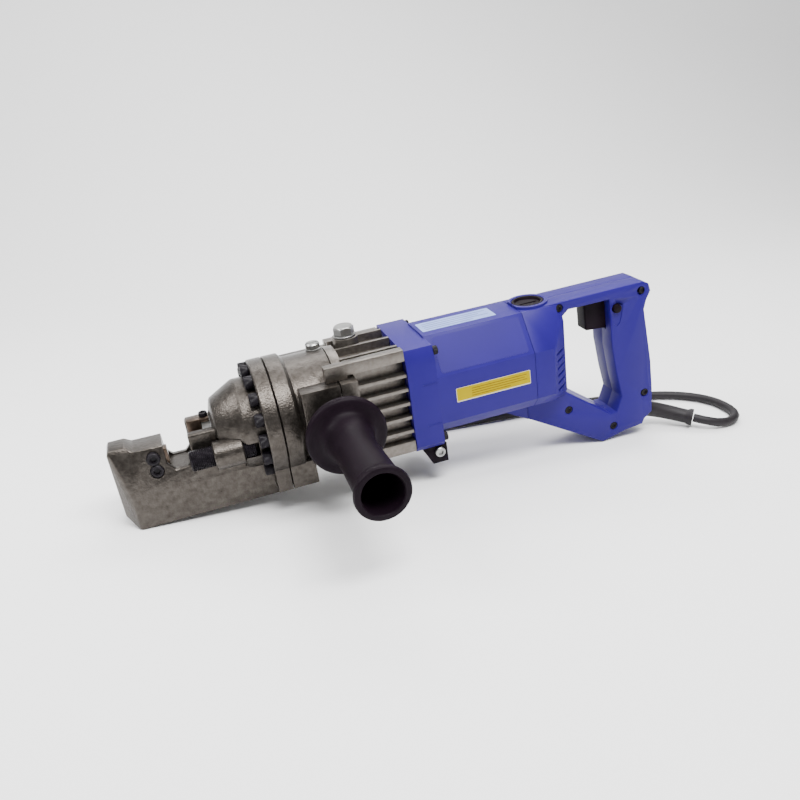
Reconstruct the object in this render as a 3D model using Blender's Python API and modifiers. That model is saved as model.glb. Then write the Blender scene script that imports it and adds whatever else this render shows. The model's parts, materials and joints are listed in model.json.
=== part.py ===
"""Portable electro-hydraulic rebar cutter: cast jaw head, ram cylinder, finned pump case,
in-line motor housing and a D-handle, with its mains lead coiled behind it.

Metres, +Z up.  The tool is drawn about its own axis: +X runs from the nose to the handle,
Z is up, the side handle points to -Y, and x = 0 is the joint between the cutter head and
the cylinder.  The whole tool then hangs on one empty that tilts it until the front edge of
the keel and the heel of the D-handle both stand on the floor (z = 0).
"""
import math

import bmesh
import bpy
from mathutils import Matrix, Vector

# ------------------------------------------------------------------ driving dimensions
GAP = 0.0003                     # clearance between touching pieces

# cutter head
NOSE_X = -0.138                  # front of the nose
KEEL_FRONT_X = -0.129            # front end of the keel's flat base
KEEL_BOTTOM_Z = -0.062
KEEL_HALF_WIDTH = 0.021
CREASE_Z = -0.032                # the sides lean inward above this height
JAW_TOP_Z = 0.004
JAW_TOP_HALF_WIDTH = 0.0128
JAW_FACE_X = -0.094              # fixed side of the cutting mouth
MOUTH_FLOOR_Z = -0.0175
GUIDE_FACE_X = -0.0733           # moving side of the cutting mouth
GUIDE_TOP_Z = 0.0096
GUIDE_HALF_WIDTH = 0.020
FLANGE_RADIUS = 0.051
FLANGE_THICKNESS = 0.0127
FLANGE_BASE_HALF_WIDTH = 0.040
FLANGE_BASE_BOTTOM_Z = -0.052
SCREW_CIRCLE_RADIUS = 0.0445
SCREW_COUNT = 8                  # places round the flange; the lowest one stays empty
SCREW_HEAD_RADIUS = 0.0054
SCREW_HEAD_LENGTH = 0.008

# ram
RAM_RADIUS = 0.0125
PISTON_RADIUS = 0.0295
CYLINDER_BORE_RADIUS = 0.0303
PISTON_FRONT_X = 0.022
CYLINDER_REAR_X = 0.052
BARREL_RADIUS = 0.047
BLADE_HALF_WIDTH = 0.0125        # across the ram
SPRING_RADIUS = 0.0205
SPRING_WIRE_RADIUS = 0.0017
SPRING_TURNS = 5

# stopper bolt beside the ram
STOPPER_Y = -0.031
STOPPER_Z = -0.008
STOPPER_RADIUS = 0.009
STOPPER_SHANK_RADIUS = 0.006

# pump case
CASE_REAR_X = 0.1087
CASE_FRONT_X = 0.059             # front of the finned part
LUG_FRONT_X = 0.042              # front of the two upper lugs beside the barrel
CASE_HALF_WIDTH = 0.034
CASE_TOP_Z = 0.038
CASE_BOTTOM_Z = -0.0435
FIN_HALF_WIDTH = 0.042
FIN_PITCH = 0.0128
TOP_FIN_PITCH = 0.0235
FIN_THICKNESS = 0.0030
POST_TOP_Z = 0.0466
SIDE_PAD_Y = 0.050               # flat bosses for the side handle
SIDE_HANDLE_X = 0.0456
OIL_PLUG_X = 0.075
OIL_PLUG_Y = 0.018

# motor and gears
MOTOR_Z = 0.004                  # height of the motor shaft
GEAR_MODULE = 0.001
PINION_TEETH = 12
GEAR_TEETH = 36
GEAR_Z = MOTOR_Z - GEAR_MODULE * (PINION_TEETH + GEAR_TEETH) / 2
GEAR_FRONT_X = 0.096
GEAR_WIDTH = 0.008
LOBE_RADIUS = 0.010
LOBE_OFFSET = 0.003
PLUNGER_X = 0.074

# motor housing
HOUSING_FRONT_X = 0.1093
COLLAR_REAR_X = 0.1346
HOUSING_REAR_X = 0.2245
WALL = 0.003
BRUSH_X = 0.240
CAP_RADIUS = 0.0145

# D-handle
HANDLE_FRONT_X = 0.2248
HANDLE_HALF_WIDTH = 0.018
HEEL_X = 0.301
HEEL_Z = -0.1045
LOCK_X = 0.319
LOCK_Z = 0.0275

# foot under the collar
FOOT_BOTTOM_Z = -0.0667
FOOT_HALF_WIDTH = 0.037

# mains lead
GUARD_ROUTE = (                  # world coordinates, from inside the handle outward
    (0.2260, 0.06075, 0.0226), (0.2380, 0.06075, 0.0222), (0.2500, 0.0606, 0.0192),
    (0.2630, 0.0590, 0.0160), (0.2760, 0.0535, 0.0130), (0.2870, 0.0455, 0.0108),
    (0.2935, 0.0400, 0.0100),
)
GUARD_RADII = (0.0082, 0.0082, 0.0080, 0.0076, 0.0072, 0.0068, 0.0068)
CORD_RADIUS = 0.00425
COIL_CENTRE = (0.020, 0.182)
COIL_INNER_RADIUS = 0.034
COIL_OUTER_RADIUS = 0.0595
COIL_HEIGHT = 0.0262

# standing position: the keel's front edge and the heel touch the floor
TILT = math.atan2(KEEL_BOTTOM_Z - HEEL_Z, HEEL_X - KEEL_FRONT_X)
FLOOR_DROP = KEEL_FRONT_X * math.sin(TILT) + KEEL_BOTTOM_Z * math.cos(TILT)
SHIFT_X = -0.11345               # puts the middle of the tool's box at x = 0
SHIFT_Y = 0.06075                # and at y = 0

COLOURS = {                      # name: (colour, roughness, metallic)
    "cast_steel": ((0.36, 0.33, 0.29), 0.45, 0.8),
    "tool_steel": ((0.20, 0.16, 0.12), 0.35, 0.9),
    "black_steel": ((0.03, 0.03, 0.035), 0.45, 0.6),
    "zinc_steel": ((0.50, 0.50, 0.50), 0.35, 0.9),
    "case_alloy": ((0.42, 0.40, 0.36), 0.40, 0.8),
    "blue_plastic": ((0.05, 0.05, 0.33), 0.42, 0.0),
    "black_plastic": ((0.015, 0.013, 0.017), 0.5, 0.0),
    "black_rubber": ((0.02, 0.018, 0.02), 0.7, 0.0),
    "copper": ((0.65, 0.30, 0.14), 0.35, 0.9),
    "core_steel": ((0.25, 0.25, 0.26), 0.5, 0.8),
    "carbon": ((0.04, 0.04, 0.04), 0.8, 0.0),
}


# ------------------------------------------------------------------ scene and helpers
def clear_scene():
    for item in list(bpy.data.objects):
        bpy.data.objects.remove(item)


def make_materials():
    made = {}
    for name, (colour, roughness, metallic) in COLOURS.items():
        material = bpy.data.materials.new(name)
        material.use_nodes = True
        shader = material.node_tree.nodes["Principled BSDF"]
        shader.inputs["Base Color"].default_value = (*colour, 1.0)
        shader.inputs["Roughness"].default_value = roughness
        shader.inputs["Metallic"].default_value = metallic
        made[name] = material
    return made


def make_collection():
    collection = bpy.data.collections.new("rebar_cutter")
    bpy.context.scene.collection.children.link(collection)
    return collection


clear_scene()
MATERIALS = make_materials()
COLLECTION = make_collection()


def to_world(x, y, z):
    """A point of the tilted tool in world coordinates."""
    return Vector((
        x * math.cos(TILT) - z * math.sin(TILT) + SHIFT_X,
        y + SHIFT_Y,
        x * math.sin(TILT) + z * math.cos(TILT) - FLOOR_DROP,
    ))


def to_tool(x, y, z):
    """A world point in the tool's own coordinates."""
    along, up = x - SHIFT_X, z + FLOOR_DROP
    return Vector((
        along * math.cos(TILT) + up * math.sin(TILT),
        y - SHIFT_Y,
        up * math.cos(TILT) - along * math.sin(TILT),
    ))


def make_tool_frame():
    empty = bpy.data.objects.new("tool_frame", None)
    COLLECTION.objects.link(empty)
    empty.location = to_world(0, 0, 0)
    empty.rotation_euler = (0, -TILT, 0)
    return empty


TOOL_FRAME = make_tool_frame()


def place(name, mesh, location=(0, 0, 0), rotation=None):
    """A mesh as an object of the collection, in tool coordinates."""
    item = bpy.data.objects.new(name, mesh)
    COLLECTION.objects.link(item)
    item.location = location
    if rotation is not None:
        item.rotation_euler = rotation.to_euler()
    return item


def bake(item, face_outward=True):
    """Turn an object's modifiers, or a curve, into a plain welded mesh."""
    graph = bpy.context.evaluated_depsgraph_get()
    mesh = bpy.data.meshes.new_from_object(item.evaluated_get(graph))
    work = bmesh.new()
    work.from_mesh(mesh)
    bmesh.ops.remove_doubles(work, verts=work.verts, dist=1e-6)
    if face_outward:
        bmesh.ops.recalc_face_normals(work, faces=work.faces)
    work.to_mesh(mesh)
    work.free()
    baked = place(item.name + "_mesh", mesh, item.location)
    baked.rotation_euler = item.rotation_euler
    name = item.name
    bpy.data.objects.remove(item)
    baked.name = name
    return baked


def combine(target, other, operation):
    """Boolean one shape with another, which it uses up."""
    step = target.modifiers.new(operation.lower(), "BOOLEAN")
    step.operation = operation
    step.solver = "EXACT"
    step.object = other
    bpy.context.view_layer.update()
    result = bake(target, face_outward=False)
    bpy.data.objects.remove(other)
    return result


def join(target, *others):
    for other in others:
        target = combine(target, other, "UNION")
    return target


def cut(target, *others):
    for other in others:
        target = combine(target, other, "DIFFERENCE")
    return target


def round_edges(item, width, segments=1, angle=40):
    """Bevel the edges sharper than the angle and bake the result."""
    step = item.modifiers.new("bevel", "BEVEL")
    step.width = width
    step.segments = segments
    step.limit_method = "ANGLE"
    step.angle_limit = math.radians(angle)
    step.use_clamp_overlap = True
    return bake(item)


def finish(item, material, parent=TOOL_FRAME, smooth=35):
    """Give a finished piece its material, its shading and its parent."""
    item.data.materials.clear()
    item.data.materials.append(MATERIALS[material])
    if item.type == "MESH":
        item.data.shade_smooth()
        item.data.set_sharp_from_angle(angle=math.radians(smooth))
    item.parent = parent
    return item


def box(name, low, high):
    """A box from its lowest to its highest corner, with its origin at its middle."""
    size = [high[i] - low[i] for i in range(3)]
    middle = [(high[i] + low[i]) / 2 for i in range(3)]
    mesh = bpy.data.meshes.new(name)
    work = bmesh.new()
    bmesh.ops.create_cube(work, size=1.0)
    bmesh.ops.scale(work, vec=size, verts=work.verts)
    work.to_mesh(mesh)
    work.free()
    return place(name, mesh, middle)


AIM = {                          # turns +Z to the named direction
    "+X": Matrix.Rotation(math.radians(90), 3, "Y"),
    "-X": Matrix.Rotation(math.radians(-90), 3, "Y"),
    "+Y": Matrix.Rotation(math.radians(-90), 3, "X"),
    "-Y": Matrix.Rotation(math.radians(90), 3, "X"),
    "+Z": Matrix.Identity(3),
    "-Z": Matrix.Rotation(math.radians(180), 3, "X"),
}


def rod(name, start, direction, length, radius, sides=24):
    """A cylinder from a start point along a direction, with its origin at the start."""
    mesh = bpy.data.meshes.new(name)
    work = bmesh.new()
    bmesh.ops.create_cone(work, cap_ends=True, segments=sides, radius1=radius,
                          radius2=radius, depth=length)
    bmesh.ops.translate(work, vec=(0, 0, length / 2), verts=work.verts)
    work.to_mesh(mesh)
    work.free()
    return place(name, mesh, start, AIM[direction])


def turned(name, profile, start, direction, sides=32, closed=False):
    """A profile of (distance along the axis, radius) turned with a Screw modifier."""
    mesh = bpy.data.meshes.new(name)
    points = [(radius, 0.0, along) for along, radius in reversed(profile)]
    edges = [(i, i + 1) for i in range(len(points) - 1)]
    if closed:
        edges.append((len(points) - 1, 0))
    mesh.from_pydata(points, edges, [])
    item = place(name, mesh, start, AIM[direction])
    screw = item.modifiers.new("turn", "SCREW")
    screw.steps = sides
    screw.render_steps = sides
    screw.use_merge_vertices = True
    screw.merge_threshold = 1e-6
    screw.use_normal_calculate = True
    return bake(item)


PLANES = {                       # local axes of a flat outline, and its thickness direction
    "XZ": Matrix(((1, 0, 0), (0, 0, -1), (0, 1, 0))),
    "YZ": Matrix(((0, 0, 1), (1, 0, 0), (0, 1, 0))),
    "XY": Matrix.Identity(3),
}


def plate(name, outlines, plane, low, high):
    """Flat outlines (the first is the rim, the others are holes) with a thickness."""
    curve = bpy.data.curves.new(name, "CURVE")
    curve.dimensions = "2D"
    curve.fill_mode = "BOTH"
    curve.extrude = (high - low) / 2
    for outline in outlines:
        spline = curve.splines.new("POLY")
        spline.points.add(len(outline) - 1)
        for point, (u, v) in zip(spline.points, outline):
            point.co = (u, v, 0, 1)
        spline.use_cyclic_u = True
    middle = (high + low) / 2
    location = {"XZ": (0, middle, 0), "YZ": (middle, 0, 0), "XY": (0, 0, middle)}[plane]
    return bake(place(name, curve, location, PLANES[plane]))


def hull(name, points):
    """The convex solid round a set of points, for a loft between unlike sections."""
    mesh = bpy.data.meshes.new(name)
    work = bmesh.new()
    for point in points:
        work.verts.new(point)
    result = bmesh.ops.convex_hull(work, input=work.verts)
    spare = [v for v in result["geom_interior"] + result["geom_unused"]
             if isinstance(v, bmesh.types.BMVert) and v.is_valid]
    bmesh.ops.delete(work, geom=list(set(spare)), context="VERTS")
    bmesh.ops.recalc_face_normals(work, faces=work.faces)
    work.to_mesh(mesh)
    work.free()
    return place(name, mesh)


def tube(name, route, radii, sides_resolution=2):
    """A round bar along a route of points, with a radius at each point."""
    curve = bpy.data.curves.new(name, "CURVE")
    curve.dimensions = "3D"
    curve.bevel_depth = 1.0
    curve.bevel_resolution = sides_resolution
    curve.use_fill_caps = True
    spline = curve.splines.new("POLY")
    spline.points.add(len(route) - 1)
    for point, place_at, radius in zip(spline.points, route, radii):
        point.co = (*place_at, 1)
        point.radius = radius
    return bake(place(name, curve))


def inset(outline, distance):
    """The outline moved inward (anticlockwise outlines) by a distance, with square corners."""
    moved = []
    count = len(outline)
    for i in range(count):
        before, here, after = (Vector(outline[(i + k) % count]) for k in (-1, 0, 1))
        first = (here - before).normalized()
        second = (after - here).normalized()
        normal_1 = Vector((-first.y, first.x))
        normal_2 = Vector((-second.y, second.x))
        half = (normal_1 + normal_2).normalized()
        moved.append(tuple(here + half * distance / max(half.dot(normal_1), 0.35)))
    return moved


def smooth_route(points, spacing):
    """Points a given distance apart on a Catmull-Rom curve through the route's points."""
    route = [Vector(p) for p in points]
    ends = [route[0] * 2 - route[1]] + route + [route[-1] * 2 - route[-2]]
    dense = []
    for i in range(1, len(ends) - 2):
        a, b, c, d = ends[i - 1:i + 3]
        for k in range(40):
            t = k / 40
            dense.append(0.5 * (2 * b + (c - a) * t + (2 * a - 5 * b + 4 * c - d) * t ** 2
                                + (3 * b - a - 3 * c + d) * t ** 3))
    dense.append(route[-1])
    length = sum((q - p).length for p, q in zip(dense, dense[1:]))
    count = max(2, round(length / spacing))
    picked = [dense[0]]
    walked = 0.0
    for p, q in zip(dense, dense[1:]):
        walked += (q - p).length
        if walked >= length * len(picked) / count and len(picked) < count:
            picked.append(q)
    picked.append(dense[-1])
    return picked


def socket_screw(name, start, direction, head_radius, head_length, shank_radius,
                 shank_length, sides=14):
    """A socket-head screw; the start is the seat under its head, which points backward."""
    profile = [
        (-head_length, 0.0), (-head_length, head_radius), (0.0, head_radius),
        (0.0, shank_radius), (shank_length, shank_radius), (shank_length, 0.0),
    ]
    screw = turned(name, profile, start, direction, sides)
    depth = head_length * 0.55
    socket = rod(name + "_socket", (0, 0, 0), "+Z", depth * 2, head_radius * 0.5, 6)
    socket.rotation_euler = AIM[direction].to_euler()
    back = AIM[direction] @ Vector((0, 0, -head_length - depth))
    socket.location = Vector(start) + back
    return cut(screw, socket)


# ------------------------------------------------------------------ cutter head and ram
def screw_places():
    """Places round the flange as (y, z), leaving out the one that the keel covers."""
    for i in range(SCREW_COUNT):
        if i != SCREW_COUNT // 2:
            angle = math.tau * i / SCREW_COUNT
            yield -SCREW_CIRCLE_RADIUS * math.sin(angle), SCREW_CIRCLE_RADIUS * math.cos(angle)


def make_cutter_head():
    side = [
        (KEEL_FRONT_X, KEEL_BOTTOM_Z), (-0.004, KEEL_BOTTOM_Z), (-0.004, 0.0),
        (-0.050, 0.0), (GUIDE_FACE_X, 0.0), (GUIDE_FACE_X, -0.0125),
        (GUIDE_FACE_X - 0.005, MOUTH_FLOOR_Z), (JAW_FACE_X + 0.006, MOUTH_FLOOR_Z),
        (JAW_FACE_X, -0.0105), (JAW_FACE_X, JAW_TOP_Z), (-0.1175, JAW_TOP_Z),
        (-0.1230, 0.0088), (-0.1360, 0.0088), (NOSE_X, 0.0050), (NOSE_X + 0.0010, -0.0510),
    ]
    section = [
        (-KEEL_HALF_WIDTH, KEEL_BOTTOM_Z), (KEEL_HALF_WIDTH, KEEL_BOTTOM_Z),
        (KEEL_HALF_WIDTH, CREASE_Z), (JAW_TOP_HALF_WIDTH, JAW_TOP_Z),
        (JAW_TOP_HALF_WIDTH - 0.003, 0.0089), (-JAW_TOP_HALF_WIDTH + 0.003, 0.0089),
        (-JAW_TOP_HALF_WIDTH, JAW_TOP_Z), (-KEEL_HALF_WIDTH, CREASE_Z),
    ]
    plan = [
        (0.0, -0.03), (0.0, 0.03), (-0.1270, 0.03), (-0.1270, KEEL_HALF_WIDTH),
        (NOSE_X - 0.0005, 0.0095), (NOSE_X - 0.0005, -0.0095),
        (-0.1270, -KEEL_HALF_WIDTH), (-0.1270, -0.03),
    ]
    head = plate("cutter_head", [side], "XZ", -0.03, 0.03)
    head = combine(head, plate("section", [section], "YZ", NOSE_X - 0.01, 0.0), "INTERSECT")
    head = combine(head, plate("plan", [plan[::-1]], "XY", -0.08, 0.03), "INTERSECT")
    guide = round_edges(
        box("guide", (GUIDE_FACE_X, -GUIDE_HALF_WIDTH, -0.030),
            (-0.020, GUIDE_HALF_WIDTH, GUIDE_TOP_Z)), 0.0025)
    dome = turned("dome", [
        (-0.058, 0.0), (-0.0565, 0.012), (-0.050, 0.0262), (-0.040, 0.0345),
        (-0.028, 0.0385), (-FLANGE_THICKNESS, 0.0385), (-FLANGE_THICKNESS, FLANGE_RADIUS),
        (-GAP / 2, FLANGE_RADIUS), (-GAP / 2, 0.0),
    ], (0, 0, 0), "+X", 48)
    base = box("flange_base", (-FLANGE_THICKNESS + 0.0002, -FLANGE_BASE_HALF_WIDTH,
                               FLANGE_BASE_BOTTOM_Z),
               (-GAP, FLANGE_BASE_HALF_WIDTH, -0.028))
    lug = round_edges(box("stopper_lug", (-0.056, -0.0435, -0.0185), (-0.033, -0.010, 0.0050)),
                      0.003)
    head = join(head, guide, dome, base, lug)
    cuts = [
        rod("ram_bore", (-0.068, 0, 0), "+X", 0.07, RAM_RADIUS + GAP, 32),
        rod("spring_pocket", (-0.0195, 0, 0), "+X", 0.03, 0.0245, 32),
        box("carrier_tunnel", (JAW_FACE_X - 0.0002, -0.0130, -0.0187),
            (-0.0435, 0.0130, 0.0132)),
        box("guide_opening", (-0.080, -0.0129, 0.0020), (-0.0525, 0.0129, 0.04)),
        box("blade_pocket", (-0.1083, -0.0098, -0.0198), (-0.080, 0.0001, 0.02)),
        rod("stopper_hole", (-0.060, STOPPER_Y, STOPPER_Z), "+X", 0.04,
            STOPPER_SHANK_RADIUS + GAP, 20),
    ]
    for x, z in FRONT_SCREWS:
        cuts.append(rod("screw_hole", (x, -0.03, z), "+Y", 0.025, 0.0033, 16))
        cuts.append(rod("screw_seat", (x, -0.03, z), "+Y", 0.0165, 0.0058, 20))
    for y, z in screw_places():
        cuts.append(rod("flange_hole", (-0.020, y, z), "+X", 0.03, 0.0033, 12))
    finish(cut(head, *cuts), "cast_steel")


FRONT_SCREWS = ((-0.1035, -0.0045), (-0.1030, -0.0155))    # x and z, into the near cheek


def make_front_blade():
    blade = box("front_blade", (-0.1080, -0.0095, -0.0195), (-0.0915, -GAP, 0.0035))
    holes = [rod("hole", (x, -0.02, z), "+Y", 0.0165, 0.0030, 16) for x, z in FRONT_SCREWS]
    finish(cut(round_edges(blade, 0.0006), *holes), "tool_steel")
    for (x, z), place_name in zip(FRONT_SCREWS, ("upper", "lower")):
        screw = socket_screw("front_blade_screw_" + place_name, (x, -0.0138, z), "+Y",
                             0.0055, 0.0045, 0.0027, 0.0095)
        finish(screw, "black_steel")


def make_cylinder_body():
    body = turned("cylinder_body", [
        (GAP / 2, 0.0), (GAP / 2, FLANGE_RADIUS), (0.0135, FLANGE_RADIUS),
        (0.0165, BARREL_RADIUS), (CYLINDER_REAR_X - GAP, BARREL_RADIUS),
        (CYLINDER_REAR_X - GAP, 0.0),
    ], (0, 0, 0), "+X", 48)
    base = box("base", (GAP, -FLANGE_BASE_HALF_WIDTH, FLANGE_BASE_BOTTOM_Z),
               (0.022, FLANGE_BASE_HALF_WIDTH, -0.030))
    pads = [box("pad", (0.019, min(s * 0.0345, s * SIDE_PAD_Y), -0.0302),
                (CYLINDER_REAR_X - 2 * GAP, max(s * 0.0345, s * SIDE_PAD_Y), 0.0335))
            for s in (-1, 1)]
    body = join(body, base, *pads)
    cuts = [rod("bore", (-0.01, 0, 0), "+X", 0.08, CYLINDER_BORE_RADIUS, 48)]
    for y, z in screw_places():
        cuts.append(rod("hole", (-0.01, y, z), "+X", 0.0215, 0.0033, 12))
    for s, direction in ((-1, "-Y"), (1, "+Y")):
        cuts.append(rod("stud_hole", (SIDE_HANDLE_X, s * 0.0342, 0), direction, 0.03, 0.0053,
                        18))
    finish(cut(body, *cuts), "cast_steel")


def make_flange_screws():
    for number, (y, z) in enumerate(screw_places(), start=1):
        screw = socket_screw("flange_screw_%d" % number, (-FLANGE_THICKNESS - GAP, y, z), "+X",
                             SCREW_HEAD_RADIUS, SCREW_HEAD_LENGTH, 0.0029, 0.0215)
        finish(screw, "black_steel")


def make_ram():
    piston_rear = PISTON_FRONT_X + 0.0105
    piston = turned("piston", [
        (-0.0450, 0.0), (-0.0450, RAM_RADIUS), (PISTON_FRONT_X, RAM_RADIUS),
        (PISTON_FRONT_X, PISTON_RADIUS), (PISTON_FRONT_X + 0.0035, PISTON_RADIUS),
        (PISTON_FRONT_X + 0.0035, 0.0265), (PISTON_FRONT_X + 0.0075, 0.0265),
        (PISTON_FRONT_X + 0.0075, PISTON_RADIUS), (piston_rear, PISTON_RADIUS),
        (piston_rear, 0.0),
    ], (0, 0, 0), "+X", 40)
    carrier = box("carrier", (-0.0600, -BLADE_HALF_WIDTH, -0.0182),
                  (-0.0440, BLADE_HALF_WIDTH, 0.0090))
    piston = join(piston, carrier)
    hole = rod("hole", (REAR_SCREW_X, REAR_SCREW_Y, 0.02), "-Z", 0.020, 0.0027, 14)
    finish(cut(piston, hole), "zinc_steel")

    seal = turned("piston_seal", [
        (PISTON_FRONT_X + 0.0038, 0.0268), (PISTON_FRONT_X + 0.0038, 0.0300),
        (PISTON_FRONT_X + 0.0072, 0.0300), (PISTON_FRONT_X + 0.0072, 0.0268),
    ], (0, 0, 0), "+X", 40, closed=True)
    finish(seal, "black_rubber")

    blade = box("rear_blade", (-0.0720, GAP, -0.0182), (-0.0603, BLADE_HALF_WIDTH, 0.0126))
    strap = box("strap", (-0.0610, GAP, 0.0093), (-0.0530, BLADE_HALF_WIDTH, 0.0126))
    blade = join(blade, strap)
    hole = rod("hole", (REAR_SCREW_X, REAR_SCREW_Y, 0.02), "-Z", 0.02, 0.0027, 14)
    finish(cut(blade, hole), "tool_steel")
    screw = socket_screw("rear_blade_screw", (REAR_SCREW_X, REAR_SCREW_Y, 0.0129), "-Z",
                         0.0036, 0.0032, 0.0024, 0.0120)
    finish(screw, "black_steel")


REAR_SCREW_X = -0.0570
REAR_SCREW_Y = 0.0064


def make_return_spring():
    start, end = -0.0190 + SPRING_WIRE_RADIUS, PISTON_FRONT_X - GAP - SPRING_WIRE_RADIUS
    steps = SPRING_TURNS * 16
    route = []
    for i in range(steps + 1):
        angle = math.tau * SPRING_TURNS * i / steps
        route.append((start + (end - start) * i / steps,
                      SPRING_RADIUS * math.cos(angle), SPRING_RADIUS * math.sin(angle)))
    spring = tube("return_spring", route, [SPRING_WIRE_RADIUS] * len(route), 1)
    finish(spring, "zinc_steel")


def make_stopper_bolt():
    bolt = turned("stopper_bolt", [
        (-0.0755, 0.0), (-0.0755, 0.0075), (-0.0740, STOPPER_RADIUS),
        (-0.0565, STOPPER_RADIUS), (-0.0565, STOPPER_SHANK_RADIUS),
        (-0.0235, STOPPER_SHANK_RADIUS), (-0.0225, 0.0050), (-0.0225, 0.0),
    ], (0, STOPPER_Y, STOPPER_Z), "+X", 24)
    socket = rod("socket", (-0.028, STOPPER_Y, STOPPER_Z), "+X", 0.02, 0.003, 6)
    finish(cut(bolt, socket), "black_steel")


# ------------------------------------------------------------------ pump case
def make_pump_case():
    case = box("pump_case", (CASE_FRONT_X, -CASE_HALF_WIDTH, CASE_BOTTOM_Z),
               (CASE_REAR_X, CASE_HALF_WIDTH, CASE_TOP_Z))
    parts = [rod("barrel_end", (CYLINDER_REAR_X + GAP, 0, 0), "+X",
                 CASE_FRONT_X - CYLINDER_REAR_X + 0.001, BARREL_RADIUS, 48)]
    for s in (-1, 1):
        parts.append(box("pad", (CYLINDER_REAR_X + GAP, min(s * 0.03, s * SIDE_PAD_Y), -0.030),
                         (0.066, max(s * 0.03, s * SIDE_PAD_Y), 0.0335)))
        for low, high in ((0.0370, POST_TOP_Z), (-0.0466, -0.0365)):
            parts.append(box("post", (CASE_FRONT_X, min(s * 0.033, s * FIN_HALF_WIDTH), low),
                             (CASE_REAR_X, max(s * 0.033, s * FIN_HALF_WIDTH), high)))
        parts.append(box("lug", (LUG_FRONT_X, min(s * 0.0335, s * FIN_HALF_WIDTH), 0.0340),
                         (CASE_FRONT_X + 0.001, max(s * 0.0335, s * FIN_HALF_WIDTH),
                          POST_TOP_Z - 0.0002)))
    for i in range(6):
        z = 0.024 - FIN_PITCH * i
        parts.append(box("side_fin", (CASE_FRONT_X, -FIN_HALF_WIDTH, z - FIN_THICKNESS / 2),
                         (CASE_REAR_X, FIN_HALF_WIDTH, z + FIN_THICKNESS / 2)))
    for i in range(3):
        y = (i - 1) * TOP_FIN_PITCH
        parts.append(box("top_fin", (CASE_FRONT_X, y - FIN_THICKNESS / 2, 0.030),
                         (CASE_REAR_X, y + FIN_THICKNESS / 2, 0.0450)))
    parts.append(rod("plug_boss", (OIL_PLUG_X, OIL_PLUG_Y, 0.030), "+Z", 0.0185, 0.0115, 24))
    case = join(case, *parts)
    cavity = box("cavity", (0.0620, -0.0290, -0.0400), (CASE_REAR_X + 0.01, 0.0290, 0.0340))
    case = cut(case, cavity)
    case = join(case, rod("plunger_block", (PLUNGER_X, 0, 0.0005), "+Z", 0.035, 0.0090, 20))
    cuts = [
        rod("plunger_bore", (PLUNGER_X, 0, -0.01), "+Z", 0.034, 0.0043, 16),
        rod("shaft_bore", (0.0565, 0, GEAR_Z), "+X", 0.02, 0.0053, 20),
        rod("plug_hole", (OIL_PLUG_X, OIL_PLUG_Y, 0.020), "+Z", 0.04, 0.0053, 20),
    ]
    for s in (-1, 1):
        for z in (HOUSING_SCREW_TOP_Z, HOUSING_SCREW_BOTTOM_Z):
            cuts.append(rod("post_hole", (0.094, s * HOUSING_SCREW_Y, z), "+X", 0.03, 0.0024,
                            10))
    finish(cut(case, *cuts), "case_alloy")


HOUSING_SCREW_Y = 0.0375
HOUSING_SCREW_TOP_Z = 0.0385
HOUSING_SCREW_BOTTOM_Z = -0.0420


def make_oil_plug():
    washer = turned("oil_plug_washer", [
        (0.0, 0.0053), (0.0, 0.0098), (0.0015, 0.0098), (0.0015, 0.0053),
    ], (OIL_PLUG_X, OIL_PLUG_Y, 0.0488), "+Z", 24, closed=True)
    finish(washer, "zinc_steel")
    head = rod("oil_plug", (OIL_PLUG_X, OIL_PLUG_Y, 0.0506), "+Z", 0.0072, 0.0092, 6)
    shank = rod("shank", (OIL_PLUG_X, OIL_PLUG_Y, 0.0360), "+Z", 0.0160, 0.0048, 20)
    finish(join(head, shank), "zinc_steel")


def make_side_handle():
    stud = rod("side_handle_stud", (SIDE_HANDLE_X, -0.0345, 0), "-Y", 0.0295, 0.0050, 20)
    finish(stud, "zinc_steel")
    grip = turned("side_handle_grip", [
        (0.0660, 0.0), (0.0660, 0.0053), (0.0503, 0.0053), (0.0503, 0.0130),
        (0.0660, 0.0150), (0.0700, 0.0325), (0.0745, 0.0330), (0.0765, 0.0310),
        (0.0780, 0.0215), (0.0900, 0.0180), (0.1000, 0.0168), (0.1300, 0.0172),
        (0.1600, 0.0180), (0.1665, 0.0192), (0.1685, 0.0212), (0.1715, 0.0212),
        (0.1725, 0.0200), (0.1725, 0.0158), (0.1200, 0.0140), (0.1180, 0.0),
    ], (SIDE_HANDLE_X, 0, 0), "-Y", 32)
    finish(grip, "black_plastic")


# ------------------------------------------------------------------ motor housing and foot
def collar_section():
    half = [(0.0, 0.0440), (0.0385, 0.0440), (0.0430, 0.0305), (0.0430, -0.0440),
            (0.0390, -0.0488), (0.0, -0.0488)]
    return mirrored(half)


def body_section():
    half = [(0.0, 0.0458), (0.0200, 0.0458), (0.0420, 0.0150), (0.0420, -0.0280),
            (0.0330, -0.0385), (0.0, -0.0385)]
    return mirrored(half)


def mirrored(half):
    """A closed anticlockwise outline from its half on the positive side, top to bottom."""
    right = half[::-1]
    left = [(-u, v) for u, v in half if u > 0]
    return [p for p in right if p[0] > 0] + left


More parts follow.
